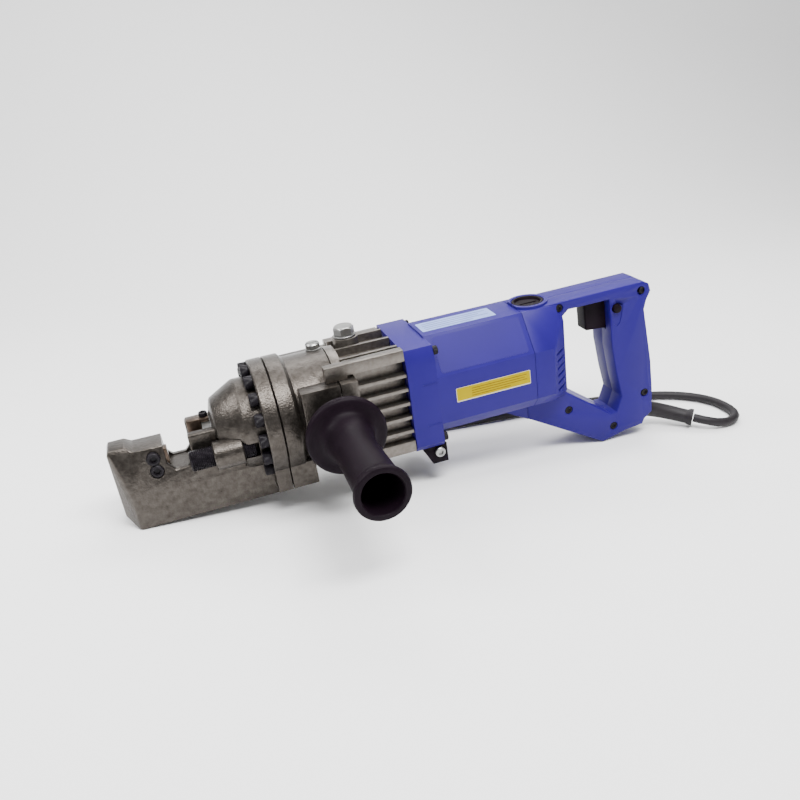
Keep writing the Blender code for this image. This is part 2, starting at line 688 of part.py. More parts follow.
def make_motor_housing():
    housing = plate("motor_housing", [collar_section()], "YZ", HOUSING_FRONT_X, COLLAR_REAR_X)
    body = plate("body", [body_section()], "YZ", COLLAR_REAR_X - 0.001, HOUSING_REAR_X)
    fairing = plate("fairing", [[(0.1900, -0.0370), (0.1900, -0.0385), (0.2140, -0.0525),
                                 (HOUSING_REAR_X, -0.0586), (HOUSING_REAR_X, -0.0370)]],
                    "XZ", -HANDLE_HALF_WIDTH, HANDLE_HALF_WIDTH)
    housing = join(housing, body, fairing)
    cuts = [
        rod("fan_room", (0.1136, 0, MOTOR_Z - 0.002), "+X", 0.022, 0.0385, 40),
        plate("inside", [inset(body_section(), WALL)], "YZ", 0.1350, 0.2600),
        rod("shaft_hole", (0.100, 0, MOTOR_Z), "+X", 0.03, 0.0113, 24),
        rod("pump_shaft_hole", (0.100, 0, GEAR_Z), "+X", 0.03, 0.0053, 20),
    ]
    for s in (-1, 1):
        for z in (HOUSING_SCREW_TOP_Z, HOUSING_SCREW_BOTTOM_Z):
            cuts.append(rod("hole", (0.100, s * HOUSING_SCREW_Y, z), "+X", 0.05, 0.0026, 10))
    finish(cut(housing, *cuts), "blue_plastic")


def make_housing_screws():
    for s, side in ((-1, "right"), (1, "left")):
        for z, level in ((HOUSING_SCREW_TOP_Z, "top"), (HOUSING_SCREW_BOTTOM_Z, "bottom")):
            screw = socket_screw("housing_screw_%s_%s" % (level, side),
                                 (COLLAR_REAR_X + GAP, s * HOUSING_SCREW_Y, z), "-X",
                                 0.0038, 0.0040, 0.0021, 0.0385, 12)
            finish(screw, "black_steel")


def make_foot():
    foot = plate("foot", [[(0.1150, -0.0491), (0.1237, FOOT_BOTTOM_Z),
                           (0.1378, FOOT_BOTTOM_Z), (0.1378, -0.0491)]],
                 "XZ", -FOOT_HALF_WIDTH, FOOT_HALF_WIDTH)
    hole = rod("hole", (0.1305, -0.045, -0.0555), "+Y", 0.020, 0.0026, 12)
    finish(cut(foot, hole), "black_plastic")
    screw = socket_screw("foot_screw", (0.1305, -FOOT_HALF_WIDTH - GAP, -0.0555), "+Y",
                         0.0045, 0.0030, 0.0022, 0.0110)
    finish(screw, "zinc_steel")


# ------------------------------------------------------------------ D-handle
HANDLE_RIM = [                   # side outline, anticlockwise from the lower front corner
    (HANDLE_FRONT_X, -0.0588), (HEEL_X, HEEL_Z), (0.3250, -0.0990), (0.3445, -0.0972),
    (0.3465, -0.0925), (0.3550, -0.0860), (0.3555, -0.0630), (0.3540, -0.0320),
    (0.3495, 0.0050), (0.3475, 0.0200), (0.3500, 0.0285), (0.3545, 0.0365),
    (0.3525, 0.0435), (0.3465, 0.0468), (HANDLE_FRONT_X, 0.0458),
]
HANDLE_WINDOW = [                # finger opening, anticlockwise from its lower front corner
    (0.2625, -0.0400), (0.3100, -0.0765), (0.3165, -0.0765), (0.3225, -0.0620),
    (0.3180, -0.0400), (0.3135, -0.0100), (0.3118, 0.0370), (0.2710, 0.0370),
    (0.2625, 0.0300),
]
HANDLE_SCREWS = (                # x and z of the screws that close the two shells
    (0.2617, 0.0405), (0.3440, 0.0385), (0.2663, -0.0610), (0.3129, -0.0905),
    (0.3465, -0.0640),
)


def rear_bulk(side, wall):
    """Points of the half-round back of the motor room, kept a wall thickness inside."""
    section = [(0.0, 0.0458), (0.0200, 0.0458), (0.0420, 0.0150), (0.0420, -0.0280),
               (0.0330, -0.0385), (0.0, -0.0500)]
    end = [(0.0, 0.0440), (0.0180, 0.0440), (0.0240, 0.0300), (0.0240, -0.0360),
           (0.0180, -0.0440), (0.0, -0.0440)]
    front = HANDLE_FRONT_X - (0.01 if wall else 0.0)
    points = []
    for x, outline in ((front, section), (0.2430, section), (0.2625 - wall, end)):
        for y, z in outline:
            y_in = max(y - wall, -0.001 if wall else 0.0)
            z_in = z - math.copysign(wall, z)
            points.append((x, side * (y_in if y > 0 else (-0.001 if wall else 0.0)), z_in))
    return points


def make_handle_half(name, side):
    """One shell of the D-handle; side is -1 for the screw-head shell and +1 for the other."""
    low, high = sorted((0.0, side * HANDLE_HALF_WIDTH))
    half = plate(name, [HANDLE_RIM, HANDLE_WINDOW[::-1]], "XZ", low, high)
    half = round_outer_edges(half)
    half = join(half, hull("bulk", rear_bulk(side, 0.0)))
    half = join(half, rod("cap_boss", (BRUSH_X, 0, 0.0300), "+Z", 0.0180, 0.0180, 32))
    inner = side * (HANDLE_HALF_WIDTH - WALL)
    rim = inset(HANDLE_RIM, WALL)
    rim = [(HANDLE_FRONT_X - 0.01, -0.0500)] + rim[1:-1] + [(HANDLE_FRONT_X - 0.01, 0.0428)]
    hollow = plate("hollow", [rim, inset(HANDLE_WINDOW, -WALL)[::-1]], "XZ",
                   *sorted((-side * 0.001, inner)))
    half = cut(half, hollow, hull("bulk_room", rear_bulk(side, WALL)))
    bosses = [rod("boss", (x, 0, z), "+Y" if side > 0 else "-Y", 0.0165, 0.0050, 14)
              for x, z in HANDLE_SCREWS]
    half = join(half, *bosses)
    keep_low, keep_high = sorted((side * 0.06, side * GAP / 2))
    half = combine(half, box("keep", (HANDLE_FRONT_X + 0.0001, keep_low, -0.12), (0.37, keep_high, 0.06)),
                   "INTERSECT")
    cuts = [
        rod("cap_hole", (BRUSH_X, 0, 0.0100), "+Z", 0.06, CAP_RADIUS + GAP, 28),
        box("trigger_slot", (0.3080, -0.0086, 0.0060), (0.3190, 0.0086, 0.0366)),
    ]
    cuts.append(tube("guard_hole", [to_tool(*p) for p in GUARD_ROUTE[:5]],
                     [r + 2 * GAP for r in GUARD_RADII[:5]], 4))
    for x, z in HANDLE_SCREWS:
        cuts.append(rod("hole", (x, -0.03, z), "+Y", 0.0430, 0.0024, 10))
        if side < 0:
            cuts.append(rod("seat", (x, -0.03, z), "+Y", 0.0150, 0.0042, 14))
    if side < 0:
        cuts.append(rod("lock_hole", (LOCK_X, -0.03, LOCK_Z), "+Y", 0.028, 0.0046, 20))
    finish(cut(half, *cuts), "blue_plastic")


def round_outer_edges(half):
    """Bevel only the long edges on the outside face of a handle shell."""
    work = bmesh.new()
    work.from_mesh(half.data)
    face_level = max(abs((half.matrix_basis @ v.co).y) for v in work.verts)
    edges = [e for e in work.edges
             if all(abs(abs((half.matrix_basis @ v.co).y) - face_level) < 1e-5
                    for v in e.verts)
             and e.is_manifold and e.calc_face_angle() > math.radians(60)]
    bmesh.ops.bevel(work, geom=edges, offset=0.0035, segments=2, affect="EDGES",
                    profile=0.5, clamp_overlap=True)
    work.to_mesh(half.data)
    work.free()
    return half


def make_handle_screws():
    for number, (x, z) in enumerate(HANDLE_SCREWS, start=1):
        screw = socket_screw("handle_screw_%d" % number, (x, -0.0150 + GAP, z), "+Y",
                             0.0038, 0.0022, 0.0020, 0.0240, 12)
        screw.location.y = -0.0150 - GAP
        finish(screw, "black_steel")


def make_switch():
    outline = [(0.2925, 0.0085), (0.3155, 0.0070), (0.3155, 0.0360), (0.2915, 0.0360)]
    trigger = round_edges(plate("trigger", [outline], "XZ", -0.0080, 0.0080), 0.0015, 2)
    finish(trigger, "black_plastic")
    lock = round_edges(rod("lock_button", (LOCK_X, -0.0205, LOCK_Z), "+Y", 0.0085, 0.0042, 20),
                       0.0008, 1)
    finish(lock, "black_plastic")
    switch = box("switch_body", (0.3225, -0.0055, -0.0100), (0.3400, 0.0110, 0.0300))
    finish(round_edges(switch, 0.0010), "black_plastic")


# ------------------------------------------------------------------ motor and pump drive
def gear_outline(teeth, phase):
    """Trapezoid teeth a little thinner than the space between them."""
    pitch_radius = GEAR_MODULE * teeth / 2
    tip, root = pitch_radius + 0.85 * GEAR_MODULE, pitch_radius - 1.20 * GEAR_MODULE
    points = []
    for i in range(teeth):
        middle = phase + math.tau * i / teeth
        for share, radius in ((-0.30, root), (-0.11, tip), (0.11, tip), (0.30, root)):
            angle = middle + share * math.tau / teeth
            points.append((radius * math.cos(angle), radius * math.sin(angle)))
    return points


def make_armature():
    shaft = turned("armature_shaft", [
        (0.0940, 0.0), (0.0940, 0.0032), (0.1080, 0.0032), (0.1080, 0.0040),
        (0.2585, 0.0040), (0.2585, 0.0),
    ], (0, 0, MOTOR_Z), "+X", 20)
    finish(shaft, "zinc_steel")
    core = turned("armature_core", [
        (0.1500, 0.0043), (0.1500, 0.0215), (0.2000, 0.0215), (0.2000, 0.0043),
    ], (0, 0, MOTOR_Z), "+X", 28, closed=True)
    finish(core, "core_steel")
    commutator = turned("commutator", [
        (0.2310, 0.0043), (0.2310, 0.0125), (0.2480, 0.0125), (0.2480, 0.0043),
    ], (0, 0, MOTOR_Z), "+X", 24, closed=True)
    finish(commutator, "copper")
    fan = turned("cooling_fan", [
        (0.1190, 0.0043), (0.1190, 0.0100), (0.1260, 0.0130), (0.1260, 0.0340),
        (0.1280, 0.0340), (0.1280, 0.0043),
    ], (0, 0, MOTOR_Z), "+X", 28, closed=True)
    blades = []
    for i in range(9):
        blade = box("blade", (0.1180, -0.0007, 0.0140), (0.1270, 0.0007, 0.0335))
        blade.location = Vector((0.1225, 0, MOTOR_Z)) + Matrix.Rotation(
            math.tau * i / 9, 3, "X") @ Vector((0, 0, 0.02375))
        blade.rotation_euler = (math.tau * i / 9, 0, 0)
        blades.append(blade)
    finish(join(fan, *blades), "black_plastic")
    pinion = plate("drive_pinion", [gear_outline(PINION_TEETH, math.tau / PINION_TEETH / 2
                                                 - math.pi / 2)],
                   "YZ", GEAR_FRONT_X, GEAR_FRONT_X + GEAR_WIDTH)
    pinion.location.z = MOTOR_Z
    hole = rod("hole", (GEAR_FRONT_X - 0.01, 0, MOTOR_Z), "+X", 0.03, 0.0035, 16)
    finish(cut(pinion, hole), "zinc_steel")


def make_motor_fixed():
    stator = turned("stator", [
        (0.1480, 0.0228), (0.1480, 0.0345), (0.2020, 0.0345), (0.2020, 0.0228),
    ], (0, 0, MOTOR_Z - 0.001), "+X", 36, closed=True)
    finish(stator, "core_steel")
    for name, start, outer in (("bearing_front", 0.1096, 0.0110), ("bearing_rear", 0.2500, 0.0110)):
        bearing = turned(name, [
            (start, 0.0043), (start, outer), (start + 0.0070, outer), (start + 0.0070, 0.0043),
        ], (0, 0, MOTOR_Z), "+X", 24, closed=True)
        finish(bearing, "zinc_steel")
    for name, s in (("carbon_brush_upper", 1), ("carbon_brush_lower", -1)):
        low, high = sorted((MOTOR_Z + s * 0.0128, MOTOR_Z + s * 0.0280))
        brush = box(name, (BRUSH_X - 0.0050, -0.0035, low), (BRUSH_X + 0.0050, 0.0035, high))
        finish(brush, "carbon")
    cap = turned("brush_cap", [
        (0.0335, 0.0), (0.0335, 0.0110), (0.0400, 0.0110), (0.0400, CAP_RADIUS),
        (0.0470, CAP_RADIUS), (0.0480, 0.0135), (0.0480, 0.0120), (0.0455, 0.0110),
        (0.0455, 0.0),
    ], (BRUSH_X, 0, 0), "+Z", 28)
    slot = box("slot", (BRUSH_X - 0.0090, -0.0010, 0.0440), (BRUSH_X + 0.0090, 0.0010, 0.0460))
    finish(cut(cap, slot), "black_plastic")


def make_pump_drive():
    shaft = rod("eccentric_shaft", (0.0570, 0, GEAR_Z), "+X", 0.0540, 0.0050, 20)
    lobe = rod("lobe", (0.0680, 0, GEAR_Z + LOBE_OFFSET), "+X", 0.0120, LOBE_RADIUS, 28)
    finish(join(shaft, lobe), "zinc_steel")
    gear = plate("driven_gear", [gear_outline(GEAR_TEETH, math.pi / 2)], "YZ",
                 GEAR_FRONT_X, GEAR_FRONT_X + GEAR_WIDTH)
    gear.location.z = GEAR_Z
    hole = rod("hole", (GEAR_FRONT_X - 0.01, 0, GEAR_Z), "+X", 0.03, 0.0053, 20)
    finish(cut(gear, hole), "zinc_steel")
    top = GEAR_Z + LOBE_OFFSET + LOBE_RADIUS + GAP
    finish(rod("pump_plunger", (PLUNGER_X, 0, top), "+Z", 0.0195, 0.0040, 16), "zinc_steel")


# ------------------------------------------------------------------ mains lead
CORD_ROUTE = (                   # from the guard's mouth round behind the handle to the coil
    (0.2941, 0.0395, 0.0099), (0.3050, 0.0305, 0.0082), (0.3190, 0.0280, 0.0053),
    (0.3340, 0.0310, 0.0046), (0.3450, 0.0420, 0.0046), (0.3490, 0.0590, 0.0046),
    (0.3440, 0.0780, 0.0046), (0.3300, 0.0960, 0.0046), (0.3060, 0.1100, 0.0046),
    (0.2700, 0.1190, 0.0046), (0.2250, 0.1240, 0.0046), (0.1750, 0.1265, 0.0046),
    (0.1250, 0.1270, 0.0046), (0.0830, 0.1268, 0.0046), (0.0515, 0.1268, 0.0046),
)
CORD_END_ROUTE = (               # from the coil's far side to the plug
    (0.0520, 0.2373, 0.0216), (0.0700, 0.2373, 0.0208), (0.0900, 0.2373, 0.0192),
)
PLUG_MOUTH = (0.0906, 0.2373, 0.0190)


def make_cord():
    guard = tube("cord_guard", GUARD_ROUTE, GUARD_RADII, 4)
    finish(guard, "black_rubber", None)
    route = smooth_route(CORD_ROUTE, 0.012)
    finish(tube("power_cord", route, [CORD_RADIUS] * len(route), 2), "black_rubber", None)
    x, y = COIL_CENTRE
    coil = turned("cord_coil", [
        (0.0003, COIL_INNER_RADIUS + 0.003), (0.0003, COIL_OUTER_RADIUS - 0.003),
        (0.0045, COIL_OUTER_RADIUS), (COIL_HEIGHT - 0.004, COIL_OUTER_RADIUS),
        (COIL_HEIGHT, COIL_OUTER_RADIUS - 0.004), (COIL_HEIGHT, COIL_INNER_RADIUS + 0.004),
        (COIL_HEIGHT - 0.004, COIL_INNER_RADIUS), (0.0045, COIL_INNER_RADIUS),
    ], (x, y, 0), "+Z", 32, closed=True)
    finish(coil, "black_rubber", None)
    tail = smooth_route(CORD_END_ROUTE, 0.012)
    finish(tube("power_cord_end", tail, [CORD_RADIUS] * len(tail), 2), "black_rubber", None)


def make_plug():
    """A two-pin earthed plug lying on the floor, its pins pointing to +X."""
    x, y, z = PLUG_MOUTH
    plug = turned("mains_plug", [
        (0.0, 0.0), (0.0, 0.0062), (0.0140, 0.0080), (0.0180, 0.0150), (0.0400, 0.0185),
        (0.0440, 0.0170), (0.0440, 0.0),
    ], (x, y, z), "+X", 24)
    pins = [rod("pin", (x + 0.043, y + s * 0.0095, z), "+X", 0.0200, 0.0024, 12)
            for s in (-1, 1)]
    finish(join(plug, *pins), "black_plastic", None)


def build_all():
    make_cutter_head()
    make_front_blade()
    make_cylinder_body()
    make_flange_screws()
    make_ram()
    make_return_spring()
    make_stopper_bolt()
    make_pump_case()
    make_oil_plug()
    make_side_handle()
    make_motor_housing()
    make_housing_screws()
    make_foot()
    make_handle_half("handle_right", -1)
    make_handle_half("handle_left", 1)
    make_handle_screws()
    make_switch()
    make_armature()
    make_motor_fixed()
    make_pump_drive()
    make_cord()
    make_plug()


build_all()
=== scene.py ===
"""Looks of the portable rebar cutter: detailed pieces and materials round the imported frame."""
import json
import math

import bmesh
import bpy
from mathutils import Matrix, Vector


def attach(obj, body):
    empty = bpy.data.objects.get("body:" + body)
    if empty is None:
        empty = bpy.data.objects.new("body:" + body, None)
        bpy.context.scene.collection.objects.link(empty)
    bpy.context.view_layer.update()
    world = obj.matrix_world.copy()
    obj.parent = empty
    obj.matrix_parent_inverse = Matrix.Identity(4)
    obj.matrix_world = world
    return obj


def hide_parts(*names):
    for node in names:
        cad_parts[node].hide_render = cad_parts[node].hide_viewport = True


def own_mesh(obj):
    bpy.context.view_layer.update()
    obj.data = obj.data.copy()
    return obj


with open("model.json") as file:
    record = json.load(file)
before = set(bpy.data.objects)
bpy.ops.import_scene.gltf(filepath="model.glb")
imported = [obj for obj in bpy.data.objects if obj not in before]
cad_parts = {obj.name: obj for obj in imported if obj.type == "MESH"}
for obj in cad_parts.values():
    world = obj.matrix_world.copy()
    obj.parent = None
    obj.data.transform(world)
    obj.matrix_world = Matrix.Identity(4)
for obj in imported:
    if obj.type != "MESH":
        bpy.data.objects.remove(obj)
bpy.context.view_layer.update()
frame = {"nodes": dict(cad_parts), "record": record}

# ------------------------------------------------------------------ the tool's own frame
# The tool's axis is its X, the ram's line; the flange joint is at X 0. Metres throughout.
KEEL_FRONT_X = -0.129
KEEL_BOTTOM_Z = -0.062
HEEL_X = 0.301
HEEL_Z = -0.1045
# the tool stands on the keel's front edge and the handle's heel
TILT = math.atan2(KEEL_BOTTOM_Z - HEEL_Z, HEEL_X - KEEL_FRONT_X)
FLOOR_DROP = KEEL_FRONT_X * math.sin(TILT) + KEEL_BOTTOM_Z * math.cos(TILT)
SHIFT = Vector((-0.11345, 0.06075, 0.0))
TOOL = Matrix.Translation(SHIFT - Vector((0, 0, FLOOR_DROP))) @ Matrix.Rotation(-TILT, 4, "Y")

NOSE_X = -0.138
JAW_FACE_X = -0.094
JAW_TOP_Z = 0.004
GUIDE_FACE_X = -0.0733
MOUTH_FLOOR_Z = -0.0180
KEEL_HALF_WIDTH = 0.021
CREASE_Z = -0.032                # where the keel's sides start to lean inward
JAW_HALF_WIDTH = 0.0128
FLANGE_RADIUS = 0.0510
FLANGE_THICKNESS = 0.0127
BASE_HALF_WIDTH = 0.040          # squared foot of the two flanges
BASE_BOTTOM_Z = -0.052
SCREW_CIRCLE_RADIUS = 0.0445
DOME_RADIUS = 0.0385
BORE_RADIUS = 0.0303
STOPPER_Y = -0.031
STOPPER_Z = -0.008
SIDE_HANDLE_X = 0.0456
OIL_PLUG_PLACE = (0.075, 0.018)
COLLAR_REAR_X = 0.1346
HOUSING_SIDE_Y = -0.0420
HOUSING_TOP_Z = 0.0458
FACET_TOP_Y = -0.0200            # the facet between the housing's top and near side
FACET_BOTTOM_Z = 0.0150
BRUSH_X = 0.240
LOCK_X, LOCK_Z = 0.319, 0.0275

# mains lead, in the frame's own axes
CORD_RADIUS = 0.00425
CORD_LYING_Z = 0.0046            # centre line of a lead that lies on the floor
COIL_CENTRE = (0.020, 0.182)
COIL_NEAR_Y = 0.12675            # the coil's outer turn, near and far side
COIL_FAR_Y = 0.2373
GUARD_ROUTE = [
    (0.2260, 0.06075, 0.0226), (0.2380, 0.06075, 0.0222), (0.2500, 0.0606, 0.0192),
    (0.2630, 0.0590, 0.0160), (0.2760, 0.0535, 0.0130), (0.2870, 0.0455, 0.0108),
    (0.2935, 0.0400, 0.0100),
]
CORD_ROUTE = [(0.2941, 0.0395, 0.0099), (0.3050, 0.0305, 0.0082), (0.3190, 0.0280, 0.0053)] + [
    (x, y, CORD_LYING_Z) for x, y in (
        (0.3340, 0.0310), (0.3450, 0.0420), (0.3480, 0.0590), (0.3440, 0.0780),
        (0.3300, 0.0960), (0.3060, 0.1100), (0.2700, 0.1190), (0.2250, 0.1240),
        (0.1750, 0.1265), (0.1250, 0.1270), (0.0830, 0.1268), (0.0515, 0.1268))]
CORD_END_ROUTE = [(x, COIL_FAR_Y, z)
                  for x, z in ((0.0520, 0.0216), (0.0700, 0.0208), (0.0900, 0.0192))]


# ------------------------------------------------------------------ camera, light, floor
WORLD_STRENGTH = 0.80
SWEEP_FRONT_Y = -2.5
SWEEP_BACK_Y = 1.6
SWEEP_HALF_WIDTH = 3.5
SWEEP_RADIUS = 0.9
SWEEP_HEIGHT = 3.0
FLOOR_CLEARANCE = 0.0004         # keeps the floor just below what lies on it


def make_camera():
    """The photographer's place, given in the tool's own frame."""
    azimuth, elevation, roll = (math.radians(a) for a in (-14.55, 24.70, 8.25))
    distance, aim, lens = 0.7448, Vector((0.1112, 0, -0.0158)), 37.78
    forward = Vector((-math.sin(azimuth) * math.cos(elevation),
                      math.cos(azimuth) * math.cos(elevation), -math.sin(elevation)))
    right = Vector((math.cos(azimuth), math.sin(azimuth), 0))
    up = right.cross(forward)
    axis_x = right * math.cos(roll) - up * math.sin(roll)
    axis_y = right * math.sin(roll) + up * math.cos(roll)
    turn = Matrix((axis_x, axis_y, -forward)).transposed().to_4x4()
    data = bpy.data.cameras.new("camera")
    data.lens = lens
    data.sensor_width = 36.0
    data.clip_start = 0.01
    camera = bpy.data.objects.new("camera", data)
    camera.matrix_world = TOOL @ Matrix.Translation(aim - forward * distance) @ turn
    bpy.context.scene.collection.objects.link(camera)
    bpy.context.scene.camera = camera


def area_light(name, place, target, size, power):
    """A white softbox that faces its target; power in watts."""
    data = bpy.data.lights.new(name, "AREA")
    data.shape = "RECTANGLE"
    data.size, data.size_y = size
    data.energy = power
    lamp = bpy.data.objects.new(name, data)
    lamp.location = place
    lamp.rotation_euler = (Vector(target) - Vector(place)).to_track_quat("-Z", "Y").to_euler()
    bpy.context.scene.collection.objects.link(lamp)


def make_world():
    """A room that is bright overhead and greyer toward the floor."""
    world = bpy.data.worlds.new("studio")
    world.use_nodes = True
    nodes, links = world.node_tree.nodes, world.node_tree.links
    place = nodes.new("ShaderNodeTexCoord")
    split = nodes.new("ShaderNodeSeparateXYZ")
    ramp = nodes.new("ShaderNodeValToRGB")
    links.new(place.outputs["Generated"], split.inputs["Vector"])
    links.new(split.outputs["Z"], ramp.inputs["Fac"])
    links.new(ramp.outputs["Color"], nodes["Background"].inputs["Color"])
    stops = ramp.color_ramp.elements
    stops[0].position, stops[0].color = 0.0, (0.40, 0.40, 0.41, 1)
    stops[1].position, stops[1].color = 0.85, (1.0, 1.0, 1.0, 1)
    middle = stops.new(0.30)
    middle.color = (0.42, 0.42, 0.43, 1)
    nodes["Background"].inputs["Strength"].default_value = WORLD_STRENGTH
    bpy.context.scene.world = world


def make_sweep():
    """A pale floor that curves up into a wall behind the tool."""
    line = [(SWEEP_FRONT_Y, 0.0), (SWEEP_BACK_Y - SWEEP_RADIUS, 0.0)]
    steps = 16
    for k in range(1, steps + 1):
        angle = math.pi / 2 * k / steps
        line.append((SWEEP_BACK_Y - SWEEP_RADIUS + SWEEP_RADIUS * math.sin(angle),
                     SWEEP_RADIUS * (1 - math.cos(angle))))
    line.append((SWEEP_BACK_Y, SWEEP_HEIGHT))
    points = [(x, y, z - FLOOR_CLEARANCE) for x in (-SWEEP_HALF_WIDTH, SWEEP_HALF_WIDTH)
              for y, z in line]
    count = len(line)
    faces = [(k, k + count, k + count + 1, k + 1) for k in range(count - 1)]
    mesh = bpy.data.meshes.new("floor")
    mesh.from_pydata(points, [], faces)
    mesh.shade_smooth()
    mesh.materials.append(simple_material("floor", (0.90, 0.90, 0.90), 0.9))
    floor = bpy.data.objects.new("floor", mesh)
    bpy.context.scene.collection.objects.link(floor)


def make_studio():
    """World, floor and wall, and lights for the near side, the rims and the wall."""
    make_world()
    make_sweep()
    area_light("key", (0.12, -0.50, 1.15), (0.02, 0.03, 0.08), (0.9, 0.35), 30)
    area_light("side", (-0.75, 0.10, 0.70), (0.00, 0.03, 0.08), (0.35, 0.5), 7)
    area_light("back", (0.35, 0.80, 1.10), (0.05, 0.05, 0.08), (1.2, 0.4), 14)
    area_light("wall", (0.0, 0.2, 1.9), (0.0, 1.4, 0.4), (2.0, 1.0), 24)


# ------------------------------------------------------------------ materials
def simple_material(name, colour, roughness, metallic=0.0):
    """One colour with one roughness."""
    material = bpy.data.materials.new(name)
    material.use_nodes = True
    shader = material.node_tree.nodes["Principled BSDF"]
    shader.inputs["Base Color"].default_value = (*colour, 1)
    shader.inputs["Roughness"].default_value = roughness
    shader.inputs["Metallic"].default_value = metallic
    return material


def grained_material(name, dark, light, roughness, metallic=0.0, patch=60.0, grain=900.0,
                     bump=0.1, rough_spread=0.12, specular=0.5, contrast=1.0, depth=0.0002):
    """Two tones in soft patches, a roughness that varies with them, and a fine bump."""
    material = simple_material(name, dark, roughness, metallic)
    tree = material.node_tree
    nodes, links = tree.nodes, tree.links
    shader = nodes["Principled BSDF"]
    shader.inputs["Specular IOR Level"].default_value = specular
    place = nodes.new("ShaderNodeTexCoord")
    patches = nodes.new("ShaderNodeTexNoise")
    patches.inputs["Scale"].default_value = patch
    patches.inputs["Detail"].default_value = 6
    fine = nodes.new("ShaderNodeTexNoise")
    fine.inputs["Scale"].default_value = grain
    fine.inputs["Detail"].default_value = 3
    links.new(place.outputs["Object"], patches.inputs["Vector"])
    links.new(place.outputs["Object"], fine.inputs["Vector"])
    ramp = nodes.new("ShaderNodeValToRGB")
    stops = ramp.color_ramp.elements
    stops[0].position, stops[0].color = 0.5 - 0.22 / contrast, (*dark, 1)
    stops[1].position, stops[1].color = 0.5 + 0.22 / contrast, (*light, 1)
    links.new(patches.outputs["Fac"], ramp.inputs["Fac"])
    links.new(ramp.outputs["Color"], shader.inputs["Base Color"])
    spread = nodes.new("ShaderNodeMapRange")
    spread.inputs["To Min"].default_value = max(0.05, roughness - rough_spread)
    spread.inputs["To Max"].default_value = min(1.0, roughness + rough_spread)
    links.new(patches.outputs["Fac"], spread.inputs["Value"])
    links.new(spread.outputs["Result"], shader.inputs["Roughness"])
    relief = nodes.new("ShaderNodeBump")
    relief.inputs["Strength"].default_value = bump
    relief.inputs["Distance"].default_value = depth
    links.new(fine.outputs["Fac"], relief.inputs["Height"])
    links.new(relief.outputs["Normal"], shader.inputs["Normal"])
    return material


MATERIALS = {
    "cast_steel": grained_material(
        "cast_steel_bare", (0.042, 0.036, 0.031), (0.080, 0.071, 0.063), roughness=0.31,
        metallic=0.9, patch=240, grain=700, bump=0.55, rough_spread=0.07, specular=0.4,
        depth=0.0006),
    "case_alloy": grained_material(
        "case_alloy_cast", (0.110, 0.097, 0.085), (0.165, 0.150, 0.134), roughness=0.31,
        metallic=0.88, patch=260, grain=900, bump=0.50, rough_spread=0.08, specular=0.4,
        depth=0.0004),
    "tool_steel": grained_material(
        "tool_steel_tempered", (0.050, 0.034, 0.024), (0.105, 0.078, 0.060), roughness=0.34,
        metallic=0.9, patch=140, grain=2000, bump=0.2),
    "black_steel": grained_material(
        "black_oxide_steel", (0.0060, 0.0050, 0.0065), (0.0130, 0.0110, 0.0140), roughness=0.34,
        patch=250, grain=2500, bump=0.15, rough_spread=0.08, specular=0.10),
    "bright_steel": grained_material(
        "zinc_plated_steel", (0.25, 0.25, 0.245), (0.34, 0.34, 0.33), roughness=0.32,
        metallic=0.92, patch=160, grain=2500, bump=0.1, rough_spread=0.08),
    "blue_plastic": grained_material(
        "blue_moulded_plastic", (0.014, 0.0055, 0.125), (0.017, 0.0070, 0.145), roughness=0.42,
        patch=35, grain=2600, bump=0.22, rough_spread=0.05, specular=0.14, contrast=0.7,
        depth=0.00012),
    "black_plastic": grained_material(
        "black_moulded_plastic", (0.0042, 0.0020, 0.0040), (0.0070, 0.0036, 0.0066),
        roughness=0.44, patch=60, grain=2200, bump=0.3, rough_spread=0.06, specular=0.06),
    "rubber": grained_material(
        "black_cord_rubber", (0.0060, 0.0045, 0.0060), (0.0110, 0.0085, 0.0105), roughness=0.55,
        patch=80, grain=1800, bump=0.25, rough_spread=0.08, specular=0.28),
    "copper": grained_material(
        "copper_segments", (0.55, 0.25, 0.10), (0.68, 0.34, 0.15), roughness=0.35, metallic=0.95,
        patch=200, grain=2500, bump=0.1),
    "core_steel": grained_material(
        "core_laminations", (0.20, 0.20, 0.21), (0.27, 0.27, 0.28), roughness=0.5, metallic=0.8,
        patch=120, grain=2500, bump=0.3),
    "carbon": grained_material(
        "brush_carbon", (0.03, 0.03, 0.03), (0.05, 0.05, 0.05), roughness=0.8, patch=200,
        grain=2500, bump=0.3),
}
LABEL_WHITE = grained_material(
    "plate_white", (0.19, 0.26, 0.52), (0.25, 0.33, 0.60), roughness=0.50, patch=90, grain=2600,
    bump=0.05, rough_spread=0.08, specular=0.12)
LABEL_YELLOW = grained_material(
    "sticker_yellow", (0.33, 0.25, 0.0), (0.38, 0.29, 0.0), roughness=0.70, patch=90, grain=2600,
    bump=0.05, rough_spread=0.08, specular=0.02)
LABEL_EDGE = grained_material(
    "sticker_backing", (0.50, 0.47, 0.36), (0.56, 0.53, 0.42), roughness=0.5, patch=90,
    grain=2600, bump=0.05, rough_spread=0.08, specular=0.3)
LABEL_PRINT = grained_material(
    "label_print", (0.13, 0.065, 0.0), (0.17, 0.085, 0.0), roughness=0.55, patch=90, grain=2600,
    bump=0.05, rough_spread=0.08, specular=0.15)
PLATE_PRINT = grained_material(
    "plate_print", (0.07, 0.10, 0.25), (0.09, 0.13, 0.30), roughness=0.5, patch=90, grain=2600,
    bump=0.05, rough_spread=0.08, specular=0.3)


# ------------------------------------------------------------------ helpers
SHARP_ANGLE = math.radians(33)


